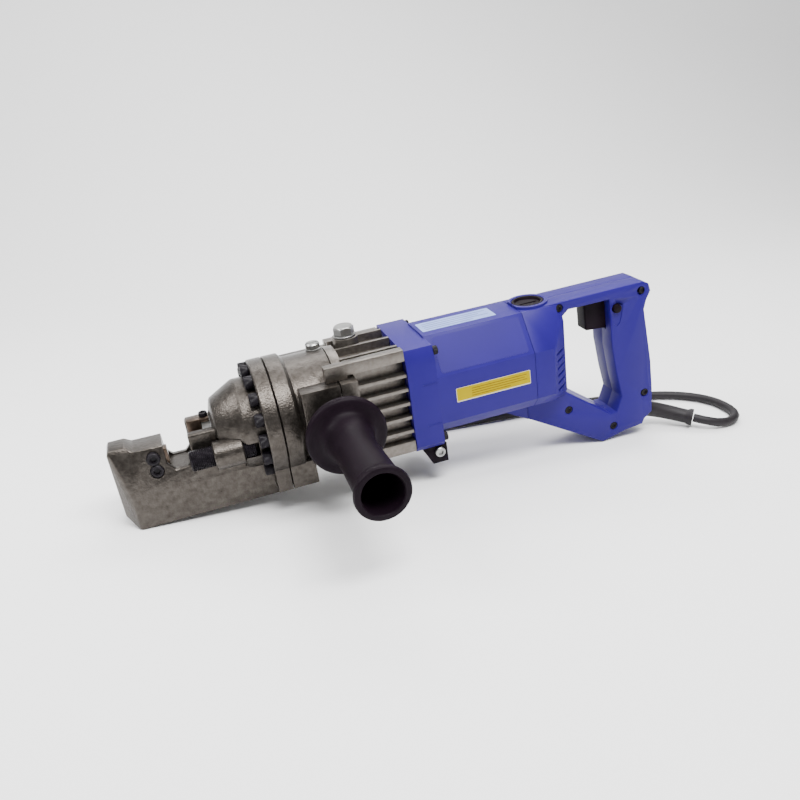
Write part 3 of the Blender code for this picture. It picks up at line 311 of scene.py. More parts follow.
def add_object(name, mesh, material, body, in_tool=True):
    """A visible piece that rides a body; in_tool says that the mesh is in the tool's own axes."""
    item = bpy.data.objects.new(name, mesh)
    bpy.context.scene.collection.objects.link(item)
    if in_tool:
        mesh.transform(TOOL)
    mesh.materials.clear()
    mesh.materials.append(material)
    mesh.shade_smooth()
    mesh.set_sharp_from_angle(angle=SHARP_ANGLE)
    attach(item, body)
    return item


def evaluated_mesh(item):
    """The item's mesh with its modifiers, as plain data; the item itself is removed."""
    bpy.context.view_layer.update()
    graph = bpy.context.evaluated_depsgraph_get()
    mesh = bpy.data.meshes.new_from_object(item.evaluated_get(graph))
    mesh.transform(item.matrix_world)
    bpy.data.objects.remove(item)
    return mesh


def scratch(mesh):
    """A working object for a modifier, removed again by evaluated_mesh."""
    item = bpy.data.objects.new("scratch", mesh)
    bpy.context.scene.collection.objects.link(item)
    return item


def softened(mesh, width, segments=2, angle=24, flatten=1.2):
    """The mesh with flat faces merged and its sharp edges rounded."""
    work = bmesh.new()
    work.from_mesh(mesh)
    bmesh.ops.remove_doubles(work, verts=work.verts, dist=2e-6)
    bmesh.ops.dissolve_limit(work, angle_limit=math.radians(flatten), verts=work.verts,
                             edges=work.edges)
    work.to_mesh(mesh)
    work.free()
    item = scratch(mesh)
    step = item.modifiers.new("bevel", "BEVEL")
    step.width = width
    step.segments = segments
    step.limit_method = "ANGLE"
    step.angle_limit = math.radians(angle)
    step.harden_normals = False
    return evaluated_mesh(item)


def node_mesh(node):
    """A copy of a CAD node's mesh in the tool's own frame."""
    mesh = frame["nodes"][node].data.copy()
    mesh.transform(TOOL.inverted())
    return mesh


def boolean(mesh, other, operation):
    """The exact union, difference or intersection of two closed meshes."""
    item, tool = scratch(mesh), scratch(other)
    step = item.modifiers.new("boolean", "BOOLEAN")
    step.operation = operation
    step.solver = "EXACT"
    step.object = tool
    result = evaluated_mesh(item)
    bpy.data.objects.remove(tool)
    return result


def joined(meshes):
    """Several meshes in one, without merging them."""
    work = bmesh.new()
    for mesh in meshes:
        work.from_mesh(mesh)
    result = bpy.data.meshes.new("joined")
    work.to_mesh(result)
    work.free()
    return result


def box_mesh(low, high, width=0.0, segments=2):
    """A box between two corners, its edges rounded over the width."""
    work = bmesh.new()
    bmesh.ops.create_cube(work, size=1.0)
    bmesh.ops.scale(work, vec=[high[i] - low[i] for i in range(3)], verts=work.verts)
    bmesh.ops.translate(work, vec=[(high[i] + low[i]) / 2 for i in range(3)], verts=work.verts)
    if width:
        bmesh.ops.bevel(work, geom=work.edges, offset=width, segments=segments,
                        affect="EDGES", profile=0.5)
    mesh = bpy.data.meshes.new("box")
    work.to_mesh(mesh)
    work.free()
    return mesh


AIM = {
    "+X": Matrix.Rotation(math.radians(90), 4, "Y"),
    "-X": Matrix.Rotation(math.radians(-90), 4, "Y"),
    "+Y": Matrix.Rotation(math.radians(-90), 4, "X"),
    "-Y": Matrix.Rotation(math.radians(90), 4, "X"),
    "+Z": Matrix.Identity(4),
    "-Z": Matrix.Rotation(math.radians(180), 4, "X"),
}


def turned_mesh(profile, start, direction, sides=96):
    """A profile of (along, radius) points turned about a direction."""
    rings = []
    work = bmesh.new()
    for along, radius in profile:
        if radius < 1e-6:
            rings.append([work.verts.new((0, 0, along))])
            continue
        ring = []
        for k in range(sides):
            angle = math.tau * k / sides
            ring.append(work.verts.new((radius * math.cos(angle), radius * math.sin(angle),
                                        along)))
        rings.append(ring)
    for a, b in zip(rings, rings[1:]):
        for k in range(sides):
            j = (k + 1) % sides
            if len(a) == 1 and len(b) > 1:
                work.faces.new((a[0], b[k], b[j]))
            elif len(b) == 1 and len(a) > 1:
                work.faces.new((a[k], a[j], b[0]))
            elif len(a) > 1:
                work.faces.new((a[k], a[j], b[j], b[k]))
    if len(rings[0]) > 1 and profile[0] == profile[-1]:
        bmesh.ops.remove_doubles(work, verts=work.verts, dist=1e-7)
    bmesh.ops.recalc_face_normals(work, faces=work.faces)
    mesh = bpy.data.meshes.new("turned")
    work.to_mesh(mesh)
    work.free()
    mesh.transform(Matrix.Translation(start) @ AIM[direction])
    return mesh


def prism_mesh(outline, plane, low, high):
    """A flat outline with a thickness along the third axis."""
    lift = {"XZ": lambda u, v, w: (u, w, v), "YZ": lambda u, v, w: (w, u, v),
            "XY": lambda u, v, w: (u, v, w)}[plane]
    work = bmesh.new()
    ends = [[work.verts.new(lift(u, v, w)) for u, v in outline] for w in (low, high)]
    count = len(outline)
    work.faces.new(ends[0])
    work.faces.new(ends[1][::-1])
    for k in range(count):
        j = (k + 1) % count
        work.faces.new((ends[0][k], ends[1][k], ends[1][j], ends[0][j]))
    bmesh.ops.recalc_face_normals(work, faces=work.faces)
    mesh = bpy.data.meshes.new("prism")
    work.to_mesh(mesh)
    work.free()
    return mesh


def hexagon(radius):
    """Six corners on a circle."""
    return [(radius * math.cos(math.tau * k / 6), radius * math.sin(math.tau * k / 6))
            for k in range(6)]


def body_of_node(node):
    """The body that a CAD node moves with."""
    for body, names in frame["record"]["behaviour"]["bodies"].items():
        if node in names:
            return body
    return "frame"


def slot_of_node(node):
    """The material slot that the record gives a CAD node."""
    return next(entry["material_slot"] for entry in frame["record"]["subparts"]
                if entry["node"] == node)


def stand_for(node, mesh):
    """A detailed mesh in the tool's frame that replaces a CAD node."""
    slot = slot_of_node(node)
    piece = add_object(node + "_look", mesh, MATERIALS[slot], body_of_node(node))
    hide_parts(node)
    return piece


def paint_frame():
    """The material of its slot for every CAD node."""
    for name, item in frame["nodes"].items():
        item.data.materials.clear()
        item.data.materials.append(MATERIALS[slot_of_node(name)])


# ------------------------------------------------------------------ mains lead
def smooth_route(points, spacing):
    """Evenly spaced points on a smooth curve through the given ones."""
    route = [Vector(p) for p in points]
    ends = [route[0] * 2 - route[1]] + route + [route[-1] * 2 - route[-2]]
    dense = []
    steps = 40
    for i in range(1, len(ends) - 2):
        a, b, c, d = ends[i - 1:i + 3]
        for k in range(steps):
            t = k / steps
            dense.append(0.5 * (2 * b + (c - a) * t + (2 * a - 5 * b + 4 * c - d) * t ** 2
                                + (3 * b - a - 3 * c + d) * t ** 3))
    dense.append(route[-1])
    length = sum((q - p).length for p, q in zip(dense, dense[1:]))
    count = max(2, round(length / spacing))
    picked, walked = [dense[0]], 0.0
    for p, q in zip(dense, dense[1:]):
        walked += (q - p).length
        if walked >= length * len(picked) / count and len(picked) < count:
            picked.append(q)
    picked.append(dense[-1])
    return picked


def tube_mesh(route, radii, sides):
    """A round tube along points, with its rings turned as little as possible."""
    work = bmesh.new()
    rings = []
    side = None
    for i, here in enumerate(route):
        ahead = (route[min(i + 1, len(route) - 1)] - route[max(i - 1, 0)]).normalized()
        if side is None:
            side = ahead.orthogonal().normalized()
        side = (side - ahead * side.dot(ahead)).normalized()
        other = ahead.cross(side)
        rings.append([work.verts.new(here + radii[i] * (side * math.cos(math.tau * k / sides)
                                                        + other * math.sin(math.tau * k / sides)))
                      for k in range(sides)])
    for a, b in zip(rings, rings[1:]):
        for k in range(sides):
            j = (k + 1) % sides
            work.faces.new((a[k], a[j], b[j], b[k]))
    work.faces.new(rings[0][::-1])
    work.faces.new(rings[-1])
    bmesh.ops.recalc_face_normals(work, faces=work.faces)
    mesh = bpy.data.meshes.new("tube")
    work.to_mesh(mesh)
    work.free()
    return mesh


GUARD_RADIUS = 0.0082
GUARD_TAPER = 0.0014
GUARD_LIP_RADIUS = 0.0083
COIL_TURNS = (                   # (column, layer) of each turn, column 0 outermost
    (0, 0), (1, 0), (2, 0), (2, 1), (1, 1), (0, 1), (0, 2),
)
COIL_TURN_COUNT = 6.5
COIL_OUTER_LINE = 0.05525
COIL_PITCH = 0.00855


def coil_route():
    """The turns, clockwise from the coil's near side to its far side."""
    points = []
    steps = 36
    total = int(steps * COIL_TURN_COUNT)
    for i in range(total + 1):
        turn, share = divmod(i, steps)
        share /= steps
        column, layer = COIL_TURNS[turn]
        after = COIL_TURNS[min(turn + 1, len(COIL_TURNS) - 1)]
        blend = max(0.0, (share - 0.75) / 0.25)
        blend = blend * blend * (3 - 2 * blend)
        radius = COIL_OUTER_LINE - COIL_PITCH * (column + (after[0] - column) * blend)
        height = CORD_LYING_Z + COIL_PITCH * (layer + (after[1] - layer) * blend)
        angle = -math.pi / 2 - math.tau * i / steps
        points.append(Vector((COIL_CENTRE[0] + radius * math.cos(angle),
                              COIL_CENTRE[1] + radius * math.sin(angle), height)))
    return points


def make_cord():
    """The lead from the guard round to its coil behind the tool, and out to the plug."""
    start = smooth_route(CORD_ROUTE, 0.008)
    tail = smooth_route(CORD_END_ROUTE, 0.008)
    link_in = [Vector((x, COIL_NEAR_Y, CORD_LYING_Z)) for x in (0.0430, 0.0340, 0.0260)]
    link_out = [Vector((x, COIL_FAR_Y, 0.0217)) for x in (0.0300, 0.0400)]
    route = start + link_in + coil_route()[1:] + link_out + tail
    cord = add_object("mains_lead", tube_mesh(route, [CORD_RADIUS] * len(route), 16),
                      MATERIALS["rubber"], "frame", in_tool=False)
    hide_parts("power_cord", "cord_coil", "power_cord_end")
    guard_line = smooth_route(GUARD_ROUTE, 0.003)
    shares = [i / (len(guard_line) - 1) for i in range(len(guard_line))]
    radii = [GUARD_LIP_RADIUS if t > 0.93 else GUARD_RADIUS - GUARD_TAPER * t for t in shares]
    guard = add_object("cord_guard_look", tube_mesh(guard_line, radii, 28),
                       MATERIALS["rubber"], "frame", in_tool=False)
    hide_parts("cord_guard")


# ------------------------------------------------------------------ shapes made of solids
def cylinder(start, direction, length, radius, sides=64):
    """A plain round bar."""
    return turned_mesh([(0, 0), (0, radius), (length, radius), (length, 0)], start, direction,
                       sides)


def united(first, *others):
    """The first mesh with the others added."""
    for other in others:
        first = boolean(first, other, "UNION")
    return first


def cut(first, *others):
    """The first mesh with the others taken away."""
    for other in others:
        first = boolean(first, other, "DIFFERENCE")
    return first


# ------------------------------------------------------------------ screws
SCREW_SIZES = {                  # head radius and length, shank radius and length
    "flange": (0.0054, 0.0068, 0.0029, 0.0200),
    "front_blade": (0.0055, 0.0045, 0.0027, 0.0095),
    "rear_blade": (0.0036, 0.0032, 0.0024, 0.0120),
    "housing": (0.0038, 0.0040, 0.0021, 0.0385),
    "handle": (0.0036, 0.0022, 0.0020, 0.0240),
    "foot": (0.0045, 0.0030, 0.0022, 0.0110),
}


def cap_screw(kind, start, direction, knurled=True):
    """A cap screw: a knurled head with a chamfered rim and a deep hexagon socket."""
    sides, knurl_depth = 96 if knurled else 48, 0.035
    head_radius, head_length, shank_radius, shank_length = SCREW_SIZES[kind]
    rim = head_radius * 0.12
    outer = turned_mesh([
        (-head_length, 0), (-head_length, head_radius - rim), (-head_length + rim, head_radius),
        (-0.0003, head_radius), (0, head_radius * 0.96), (0, shank_radius),
        (shank_length - 0.0006, shank_radius), (shank_length, shank_radius * 0.7),
        (shank_length, 0),
    ], (0, 0, 0), "+Z", sides)
    if knurled:
        for v in outer.vertices:
            if -head_length + rim * 0.5 < v.co.z < -0.0001:
                if round(math.atan2(v.co.y, v.co.x) / math.tau * sides) % 2:
                    v.co.xy = v.co.xy * (1 - knurl_depth)
    depth = head_length * 0.6
    socket = prism_mesh(hexagon(head_radius * 0.56), "XY", -head_length - 0.001,
                        -head_length + depth)
    recess = turned_mesh([(-head_length - 0.001, 0), (-head_length - 0.001, head_radius * 0.70),
                          (-head_length + 0.0005, head_radius * 0.56),
                          (-head_length + 0.0005, 0)], (0, 0, 0), "+Z", 32)
    screw = cut(outer, recess, socket)
    screw.transform(Matrix.Translation(start) @ AIM[direction])
    return screw


FLANGE_PLACES = 16               # round the flange from its top; the foot takes up three
FLANGE_SCREWS = [(-SCREW_CIRCLE_RADIUS * math.sin(math.tau * k / FLANGE_PLACES),
                  SCREW_CIRCLE_RADIUS * math.cos(math.tau * k / FLANGE_PLACES), k)
                 for k in range(FLANGE_PLACES) if k not in (7, 8, 9)]
REAR_SCREW_X, REAR_SCREW_Y = -0.0570, 0.0064
FRONT_SCREWS = (("front_blade_screw_upper", -0.1035, -0.0045),
                ("front_blade_screw_lower", -0.1030, -0.0155))
HANDLE_SCREWS = ((0.2617, 0.0405), (0.3462, 0.0385), (0.2663, -0.0610), (0.3129, -0.0905),
                 (0.3475, -0.0640))


def make_screws():
    """Every socket screw; the flange also has the ones between the places in the CAD."""
    flange = cap_screw("flange", (0, 0, 0), "+X")
    counted = 0
    for y, z, k in FLANGE_SCREWS:
        mesh = flange.copy()
        mesh.transform(Matrix.Translation((-FLANGE_THICKNESS - 0.0002, y, z)))
        if k % 2 == 0:
            counted += 1
            stand_for("flange_screw_%d" % counted, mesh)
        else:
            add_object("flange_screw_between_%d" % k, mesh, MATERIALS["black_steel"], "frame")
    for name, x, z in FRONT_SCREWS:
        stand_for(name, cap_screw("front_blade", (x, -0.0138, z), "+Y"))
    stand_for("rear_blade_screw",
              cap_screw("rear_blade", (REAR_SCREW_X, REAR_SCREW_Y, 0.0129), "-Z"))
    for s, side in ((-1, "right"), (1, "left")):
        for z, level in ((0.0385, "top"), (-0.0420, "bottom")):
            stand_for("housing_screw_%s_%s" % (level, side),
                      cap_screw("housing", (COLLAR_REAR_X + 0.0003, s * 0.0375, z), "-X"))
    for number, (x, z) in enumerate(HANDLE_SCREWS, start=1):
        stand_for("handle_screw_%d" % number,
                  cap_screw("handle", (x, -0.0153, z), "+Y", False))
    stand_for("foot_screw", cap_screw("foot", (0.1305, -0.0373, -0.0555), "+Y", False))


# ------------------------------------------------------------------ cutter head and ram
def make_jaw():
    """The nose and keel: the side outline, narrowed by the front section and the plan."""
    side = [
        (KEEL_FRONT_X, KEEL_BOTTOM_Z), (-0.004, KEEL_BOTTOM_Z), (-0.004, 0.0), (-0.050, 0.0),
        (GUIDE_FACE_X, 0.0), (GUIDE_FACE_X, -0.0125), (GUIDE_FACE_X - 0.0045, MOUTH_FLOOR_Z),
        (JAW_FACE_X + 0.0055, MOUTH_FLOOR_Z), (JAW_FACE_X, -0.0115), (JAW_FACE_X, JAW_TOP_Z),
        (-0.1175, JAW_TOP_Z), (-0.1230, 0.0088), (-0.1360, 0.0088), (NOSE_X, 0.0050),
        (NOSE_X + 0.0010, -0.0510),
    ]
    half_section = [(KEEL_HALF_WIDTH, KEEL_BOTTOM_Z), (KEEL_HALF_WIDTH, CREASE_Z),
                    (JAW_HALF_WIDTH, JAW_TOP_Z), (0.0098, 0.0089)]
    section = half_section + [(-y, z) for y, z in half_section[::-1]]
    half_plan = [(0.0, 0.03), (-0.1270, 0.03), (-0.1270, KEEL_HALF_WIDTH),
                 (NOSE_X - 0.0005, 0.0095)]
    plan = half_plan + [(x, -y) for x, y in half_plan[::-1]]
    jaw = prism_mesh(side, "XZ", -0.03, 0.03)
    jaw = boolean(jaw, prism_mesh(section, "YZ", NOSE_X - 0.01, 0.0), "INTERSECT")
    jaw = boolean(jaw, prism_mesh(plan, "XY", -0.08, 0.03), "INTERSECT")
    return softened(jaw, 0.0009, 2, 20, 0.5)


def make_head():
    """Jaw, blade guide, dome and flange in one casting, with its bores and pockets."""
    jaw = make_jaw()
    guide = box_mesh((GUIDE_FACE_X, -0.020, -0.030), (-0.020, 0.020, 0.0096), 0.0022, 4)
    dome = turned_mesh([
        (-0.0540, 0.0), (-0.0540, 0.0120), (-0.0535, 0.0132), (-0.0500, 0.0262),
        (-0.0490, 0.0277), (-0.0300, 0.0378), (-0.0282, 0.0384), (-0.0270, DOME_RADIUS),
        (-FLANGE_THICKNESS, DOME_RADIUS),
        (-FLANGE_THICKNESS, 0.0500), (-FLANGE_THICKNESS + 0.0010, FLANGE_RADIUS),
        (-0.0009, FLANGE_RADIUS), (-0.0002, 0.0503), (-0.0002, 0.0),
    ], (0, 0, 0), "+X", 128)
    base = box_mesh((-FLANGE_THICKNESS + 0.0002, -BASE_HALF_WIDTH, BASE_BOTTOM_Z),
                    (-0.0003, BASE_HALF_WIDTH, -0.028), 0.0008, 2)
    lug = turned_mesh([(0, 0), (0, 0.0110), (0.0010, 0.0120), (0.0230, 0.0120),
                       (0.0240, 0.0110), (0.0240, 0)], (-0.0565, -0.0300, -0.0088), "+X", 64)
    web = box_mesh((-0.0560, -0.0300, -0.0200), (-0.0335, -0.0180, -0.0040), 0.0008, 2)
    dome = cut(dome, box_mesh((-0.0600, -0.0460, -0.0300), (-0.0330, -0.0202, 0.0030), 0.0015,
                              3))
    head = united(jaw, guide, dome, base, lug, web)
    # ram bore, spring room, carrier tunnel, guide's open top, blade pocket, stopper hole
    cuts = [
        cylinder((-0.068, 0, 0), "+X", 0.07, JAW_HALF_WIDTH),
        cylinder((-0.0195, 0, 0), "+X", 0.03, 0.0245),
        box_mesh((JAW_FACE_X - 0.0002, -0.0130, -0.0187), (-0.0435, 0.0130, 0.0132)),
        box_mesh((-0.080, -0.0129, 0.0020), (-0.0525, 0.0129, 0.04)),
        box_mesh((-0.1083, -0.0098, -0.0198), (JAW_FACE_X + 0.002, 0.0001, -0.0004)),
        cylinder((-0.060, STOPPER_Y, STOPPER_Z), "+X", 0.04, 0.0092),
    ]
    for _, x, z in FRONT_SCREWS:
        cuts.append(turned_mesh([(0, 0), (0, 0.0064), (0.0128, 0.0058), (0.0165, 0.0058),
                                 (0.0165, 0.0033), (0.025, 0.0033), (0.025, 0)],
                                (x, -0.03, z), "+Y", 48))
    for y, z, _ in FLANGE_SCREWS:
        cuts.append(cylinder((-0.020, y, z), "+X", 0.03, 0.0033, 24))
    stand_for("cutter_head", cut(head, *cuts))


def make_blades():
    """The fixed blade in the jaw and the moving one on the ram's carrier."""
    blade = box_mesh((-0.1080, -0.0095, -0.0195), (-0.0915, -0.0003, -0.0008), 0.0005, 2)
    stand_for("front_blade", blade)
    rear = united(box_mesh((-0.0720, 0.0003, -0.0182), (-0.0603, 0.0125, 0.0126), 0.0006, 2),
                  box_mesh((-0.0610, 0.0003, 0.0093), (-0.0530, 0.0125, 0.0126), 0.0005, 2))
    stand_for("rear_blade", cut(rear, cylinder((REAR_SCREW_X, REAR_SCREW_Y, 0.02), "-Z", 0.02,
                                               0.0027, 32)))


def make_stopper():
    """The stopper bolt: a threaded head at the mouth, a plain shank, and a threaded tail."""
    start, pitch, groove, sides = -0.0748, 0.0015, 0.0009, 48
    head = [(start + 0.0183 * k / 120, 0.0088) for k in range(1, 120)]
    tail = [(-0.0330 + 0.0095 * k / 70, 0.0086) for k in range(71)]
    profile = [(-0.0755, 0.0), (-0.0755, 0.0074), (start, 0.0082)] + head
    profile += [(-0.0565, 0.0084), (-0.0565, 0.0066), (-0.0335, 0.0066), (-0.0334, 0.0086)]
    profile += tail + [(-0.0230, 0.0070), (-0.0230, 0.0)]
    bolt = turned_mesh([(along - start, radius) for along, radius in profile], (0, 0, 0), "+Z",
                       sides)
    for v in bolt.vertices:
        radius = math.hypot(v.co.x, v.co.y)
        if radius > 0.0078:
            turn = math.atan2(v.co.y, v.co.x) / math.tau
            phase = (v.co.z / pitch - turn) % 1.0
            v.co.xy = v.co.xy * (1 - groove * abs(2 * phase - 1) / radius)
    bolt.transform(Matrix.Translation((start, STOPPER_Y, STOPPER_Z)) @ AIM["+X"])
    socket = prism_mesh(hexagon(0.003), "YZ", -0.0275, -0.020)
    socket.transform(Matrix.Translation((0, STOPPER_Y, STOPPER_Z)))
    stand_for("stopper_bolt", cut(bolt, socket))


def make_return_spring():
    """The spring rides the case, on a copy of its mesh of its own."""
    mesh = node_mesh("return_spring")
    spring = stand_for("return_spring", mesh)
    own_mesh(spring)


def make_cylinder():
    """Flange, barrel and side pads in one casting, and the bleed screw on top."""
    body = turned_mesh([
        (0.0002, 0.0), (0.0002, 0.0500), (0.0009, FLANGE_RADIUS), (0.0128, FLANGE_RADIUS),
        (0.0135, 0.0506), (0.0160, 0.0474), (0.0168, 0.0470), (0.0512, 0.0470),
        (0.0517, 0.0466), (0.0517, 0.0),
    ], (0, 0, 0), "+X", 128)
    base = box_mesh((0.0004, -BASE_HALF_WIDTH, BASE_BOTTOM_Z), (0.022, BASE_HALF_WIDTH, -0.030),
                    0.0008, 2)
    pads = [box_mesh((0.019, min(s * 0.0345, s * 0.050), -0.0302),
                     (0.0514, max(s * 0.0345, s * 0.050), 0.0335), 0.0009, 2)
            for s in (-1, 1)]
    body = united(body, base, *pads)
    body = cut(body, cylinder((-0.01, 0, 0), "+X", 0.08, BORE_RADIUS, 96),
               cylinder((SIDE_HANDLE_X, -0.0342, 0), "-Y", 0.03, 0.0053, 32),
               cylinder((SIDE_HANDLE_X, 0.0342, 0), "+Y", 0.03, 0.0053, 32))
    stand_for("cylinder_body", body)
    bleed = turned_mesh([(0.0440, 0), (0.0440, 0.0050), (0.0455, 0.0050), (0.0455, 0.0066),
                         (0.0466, 0.0066), (0.0468, 0.0062), (0.0505, 0.0062),
                         (0.0515, 0.0054), (0.0515, 0)], (0.0450, 0.012, 0), "+Z", 64)
    bleed = cut(bleed, box_mesh((0.0350, 0.0113, 0.0502), (0.0550, 0.0127, 0.06)))
    add_object("bleed_screw", bleed, MATERIALS["bright_steel"], "frame")


# ------------------------------------------------------------------ pump case and its fittings
def make_pump():
    """The case without its far upper lug and with a lower far post, and its plug on a washer."""
    case = cut(node_mesh("pump_case"),
               box_mesh((0.0410, 0.0310, 0.0330), (0.0592, 0.0440, 0.0480)),
               box_mesh((0.0580, 0.0310, 0.0412), (0.1095, 0.0440, 0.0480)))
    stand_for("pump_case", softened(case, 0.00055, 2, 28))
    head = prism_mesh(hexagon(0.0092), "XY", 0.0506, 0.0578)
    crown = turned_mesh([(0.0500, 0), (0.0500, 0.0092), (0.0560, 0.0094), (0.0578, 0.0078),
                         (0.0578, 0)], (0, 0, 0), "+Z", 96)
    head = boolean(head, crown, "INTERSECT")
    head = united(head, cylinder((0, 0, 0.0360), "+Z", 0.016, 0.0048, 40))
    head.transform(Matrix.Translation((*OIL_PLUG_PLACE, 0)))
    stand_for("oil_plug", head)
    washer = turned_mesh([(0, 0.0053), (0, 0.0096), (0.0002, 0.0098), (0.0013, 0.0098),
                          (0.0015, 0.0096), (0.0015, 0.0053), (0, 0.0053)],
                         (*OIL_PLUG_PLACE, 0.0488), "+Z", 64)
    stand_for("oil_plug_washer", washer)


def make_side_handle():
    """The grip in one turned shape: collar, disc, waist, flared lip and open end."""
    profile = [
        (0.0660, 0.0), (0.0660, 0.0053),
        (0.0503, 0.0053), (0.0503, 0.0130), (0.0660, 0.0150), (0.0672, 0.0290),
        (0.0680, 0.0318), (0.0700, 0.0328), (0.0735, 0.0330), (0.0752, 0.0322),
        (0.0762, 0.0306), (0.0768, 0.0270), (0.0776, 0.0236), (0.0795, 0.0212),
        (0.0830, 0.0196), (0.0880, 0.0184), (0.0950, 0.0174), (0.1030, 0.0168),
        (0.1150, 0.0168), (0.1300, 0.0172), (0.1450, 0.0176), (0.1580, 0.0180),
        (0.1625, 0.0185), (0.1655, 0.0195), (0.1675, 0.0207), (0.1695, 0.0212),
        (0.1712, 0.0211), (0.1722, 0.0205), (0.1725, 0.0196), (0.1725, 0.0168),
        (0.1718, 0.0160), (0.1700, 0.0157), (0.1200, 0.0140), (0.1190, 0.0132),
        (0.1190, 0.0),
    ]
    stand_for("side_handle_grip", turned_mesh(profile, (SIDE_HANDLE_X, 0, 0), "-Y", 128))


# ------------------------------------------------------------------ motor housing and handle
def make_housing():
    """The motor housing and its foot with rounded edges."""
    stand_for("motor_housing", softened(node_mesh("motor_housing"), 0.0011, 3, 24))
    stand_for("foot", softened(node_mesh("foot"), 0.0007, 2, 28))


def vent_cuts():
    """Six slots through the rear corner of the motor room."""
    return [box_mesh((0.2475, -0.0480, z - 0.0012), (0.2612, -0.0255, z + 0.0012), 0.0008, 2)
            for z in [0.0060 - 0.0068 * k for k in range(6)]]


def lock_recess():
    """A shallow drop-shaped dish round the lock button, its tail pointing down."""
    radius = 0.0066
    outline = [(LOCK_X + radius * math.cos(a), LOCK_Z + radius * math.sin(a))
               for a in [math.radians(-20 + 220 * k / 24) for k in range(25)]]
    outline += [(LOCK_X + x, LOCK_Z - z)
                for x, z in ((-0.0030, 0.0150), (0.0, 0.0170), (0.0030, 0.0150))]
    return prism_mesh(outline, "XZ", -0.0190, -0.0173)


def make_handle():
    """Both handle shells with their vents, the brush cap, the trigger and the lock button."""
    for name, side in (("handle_left", 1), ("handle_right", -1)):
        mesh = softened(node_mesh(name), 0.0009, 3, 26)
        slots = vent_cuts()
        if side > 0:
            for slot_mesh in slots:
                slot_mesh.transform(Matrix.Scale(-1, 4, (0, 1, 0)))
                slot_mesh.flip_normals()
        else:
            slots.append(lock_recess())
        mesh = cut(mesh, *slots)
        stand_for(name, mesh)
    vent_block = box_mesh((0.2600, -0.0150, -0.0190), (0.2662, 0.0150, 0.0120), 0.0012, 3)
    add_object("vent_block", vent_block, MATERIALS["blue_plastic"], "frame")
    cap = turned_mesh([
        (0.0335, 0.0), (0.0335, 0.0110), (0.0400, 0.0110), (0.0400, 0.0145),
        (0.0468, 0.0145), (0.0478, 0.0139), (0.0480, 0.0132), (0.0479, 0.0122),
        (0.0470, 0.0116), (0.0457, 0.0112), (0.0455, 0.0108), (0.0455, 0.0),
    ], (BRUSH_X, 0, 0), "+Z", 96)
    slot = box_mesh((BRUSH_X - 0.0090, -0.0011, 0.0435), (BRUSH_X + 0.0090, 0.0011, 0.0462))
    cap = cut(cap, slot)
    stand_for("brush_cap", cap)
    stand_for("trigger", softened(node_mesh("trigger"), 0.0006, 2, 20, 0.4))
    lock = turned_mesh([
        (0, 0), (0, 0.0030), (0.0003, 0.0038), (0.0010, 0.0042), (0.0085, 0.0042), (0.0085, 0),
    ], (LOCK_X, -0.0205, LOCK_Z), "+Y", 64)
    stand_for("lock_button", lock)


# ------------------------------------------------------------------ labels and trim
def sticker(name, outline, material, corner=0.0008):
    """A thin label: corner points in order, its thickness along the outline's normal."""
    points = [Vector(p) for p in outline]
    normal = (points[1] - points[0]).cross(points[2] - points[0]).normalized()
    work = bmesh.new()
    lower = [work.verts.new(p) for p in points]
    upper = [work.verts.new(p + normal * 0.0002) for p in points]
    work.faces.new(lower[::-1])
    work.faces.new(upper)
    for k in range(len(points)):
        j = (k + 1) % len(points)
        work.faces.new((lower[k], lower[j], upper[j], upper[k]))
    upright = [e for e in work.edges
               if abs((e.verts[0].co - e.verts[1].co).normalized().dot(normal)) > 0.99]
    bmesh.ops.bevel(work, geom=upright, offset=corner, segments=3, affect="EDGES", profile=0.5)
    mesh = bpy.data.meshes.new(name)
    work.to_mesh(mesh)
    work.free()
    return add_object(name, mesh, material, "frame")


def on_top(x0, x1, y0, y1):
    """Corners of a patch on the housing's flat top."""
    return [(x, y, HOUSING_TOP_Z) for x, y in ((x0, y0), (x1, y0), (x1, y1), (x0, y1))]


def on_side(x0, x1, z0, z1, proud=0.0):
    """Corners of a patch on the housing's near side."""
    return [(x, HOUSING_SIDE_Y - proud, z) for x, z in ((x0, z0), (x1, z0), (x1, z1), (x0, z1))]


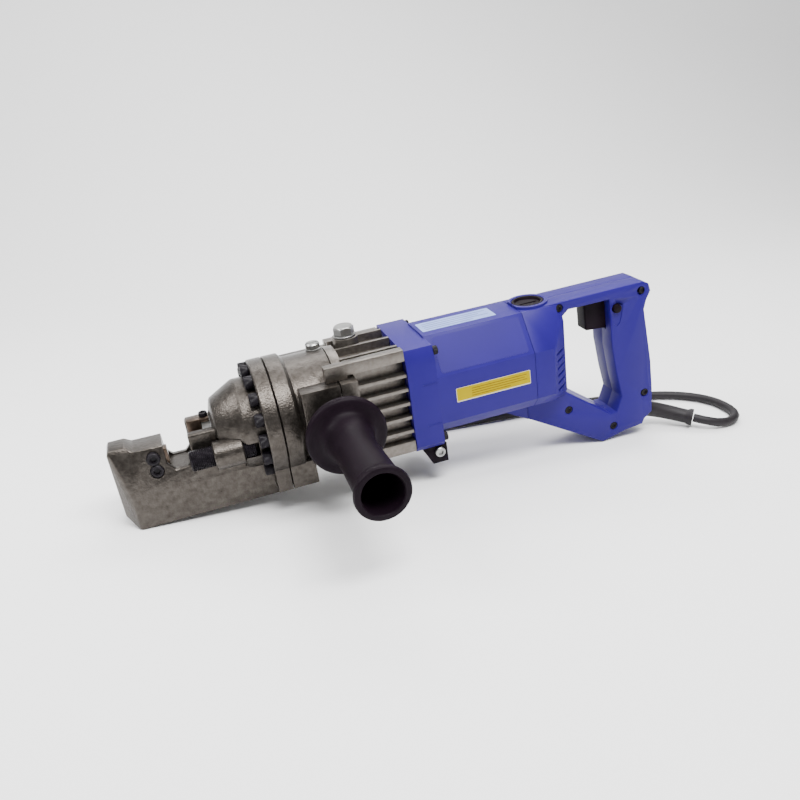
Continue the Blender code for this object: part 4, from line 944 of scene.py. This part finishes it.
def facet_point(x, share):
    """A point on the housing's near upper facet; the share runs from its top edge down."""
    return (x, FACET_TOP_Y + (HOUSING_SIDE_Y - FACET_TOP_Y) * share,
            HOUSING_TOP_Z + (FACET_BOTTOM_Z - HOUSING_TOP_Z) * share)


def make_labels():
    """A plate and a sticker with plain lines for text, a blank panel, and the collar's ridges."""
    sticker("top_plate", on_top(0.137, 0.205, -0.0110, 0.0110), LABEL_WHITE)
    sticker("side_label_backing", on_side(0.1500, 0.2190, -0.0116, 0.0012), LABEL_EDGE)
    sticker("side_label", on_side(0.1505, 0.2185, -0.0106, 0.0009, 0.0001), LABEL_YELLOW)
    lines = [box_mesh((0.1640, HOUSING_SIDE_Y - 0.00035, z - 0.0003),
                      (end, HOUSING_SIDE_Y - 0.0002, z + 0.0003))
             for z, end in ((-0.0018, 0.2155), (-0.0040, 0.2135), (-0.0062, 0.2155),
                            (-0.0084, 0.2000))]
    add_object("side_label_lines", joined(lines), LABEL_PRINT, "frame")
    rows = [box_mesh((0.1410, y - 0.0006, HOUSING_TOP_Z + 0.0001),
                     (end, y + 0.0006, HOUSING_TOP_Z + 0.00025))
            for y, end in ((-0.0070, 0.1850), (-0.0025, 0.2010), (0.0020, 0.1930),
                           (0.0065, 0.2010))]
    add_object("top_plate_lines", joined(rows), PLATE_PRINT, "frame")
    sticker("facet_panel", [facet_point(0.1400, 0.93), facet_point(0.2205, 0.93),
                            facet_point(0.2205, 0.07), facet_point(0.1400, 0.07)],
            MATERIALS["blue_plastic"], 0.0020)
    ridges = []
    for s in (-1, 1):
        low, high = sorted((s * 0.0428, s * 0.0434))
        ridges += [box_mesh((0.1215, low, z - 0.0004), (0.1343, high, z + 0.0004))
                   for z in (0.0120, -0.0260)]
    add_object("collar_ridges", joined(ridges), MATERIALS["blue_plastic"], "frame")


make_camera()
make_cord()
make_head()
make_blades()
make_stopper()
make_return_spring()
make_cylinder()
make_pump()
make_side_handle()
make_housing()
make_handle()
make_screws()
make_labels()
make_studio()
paint_frame()
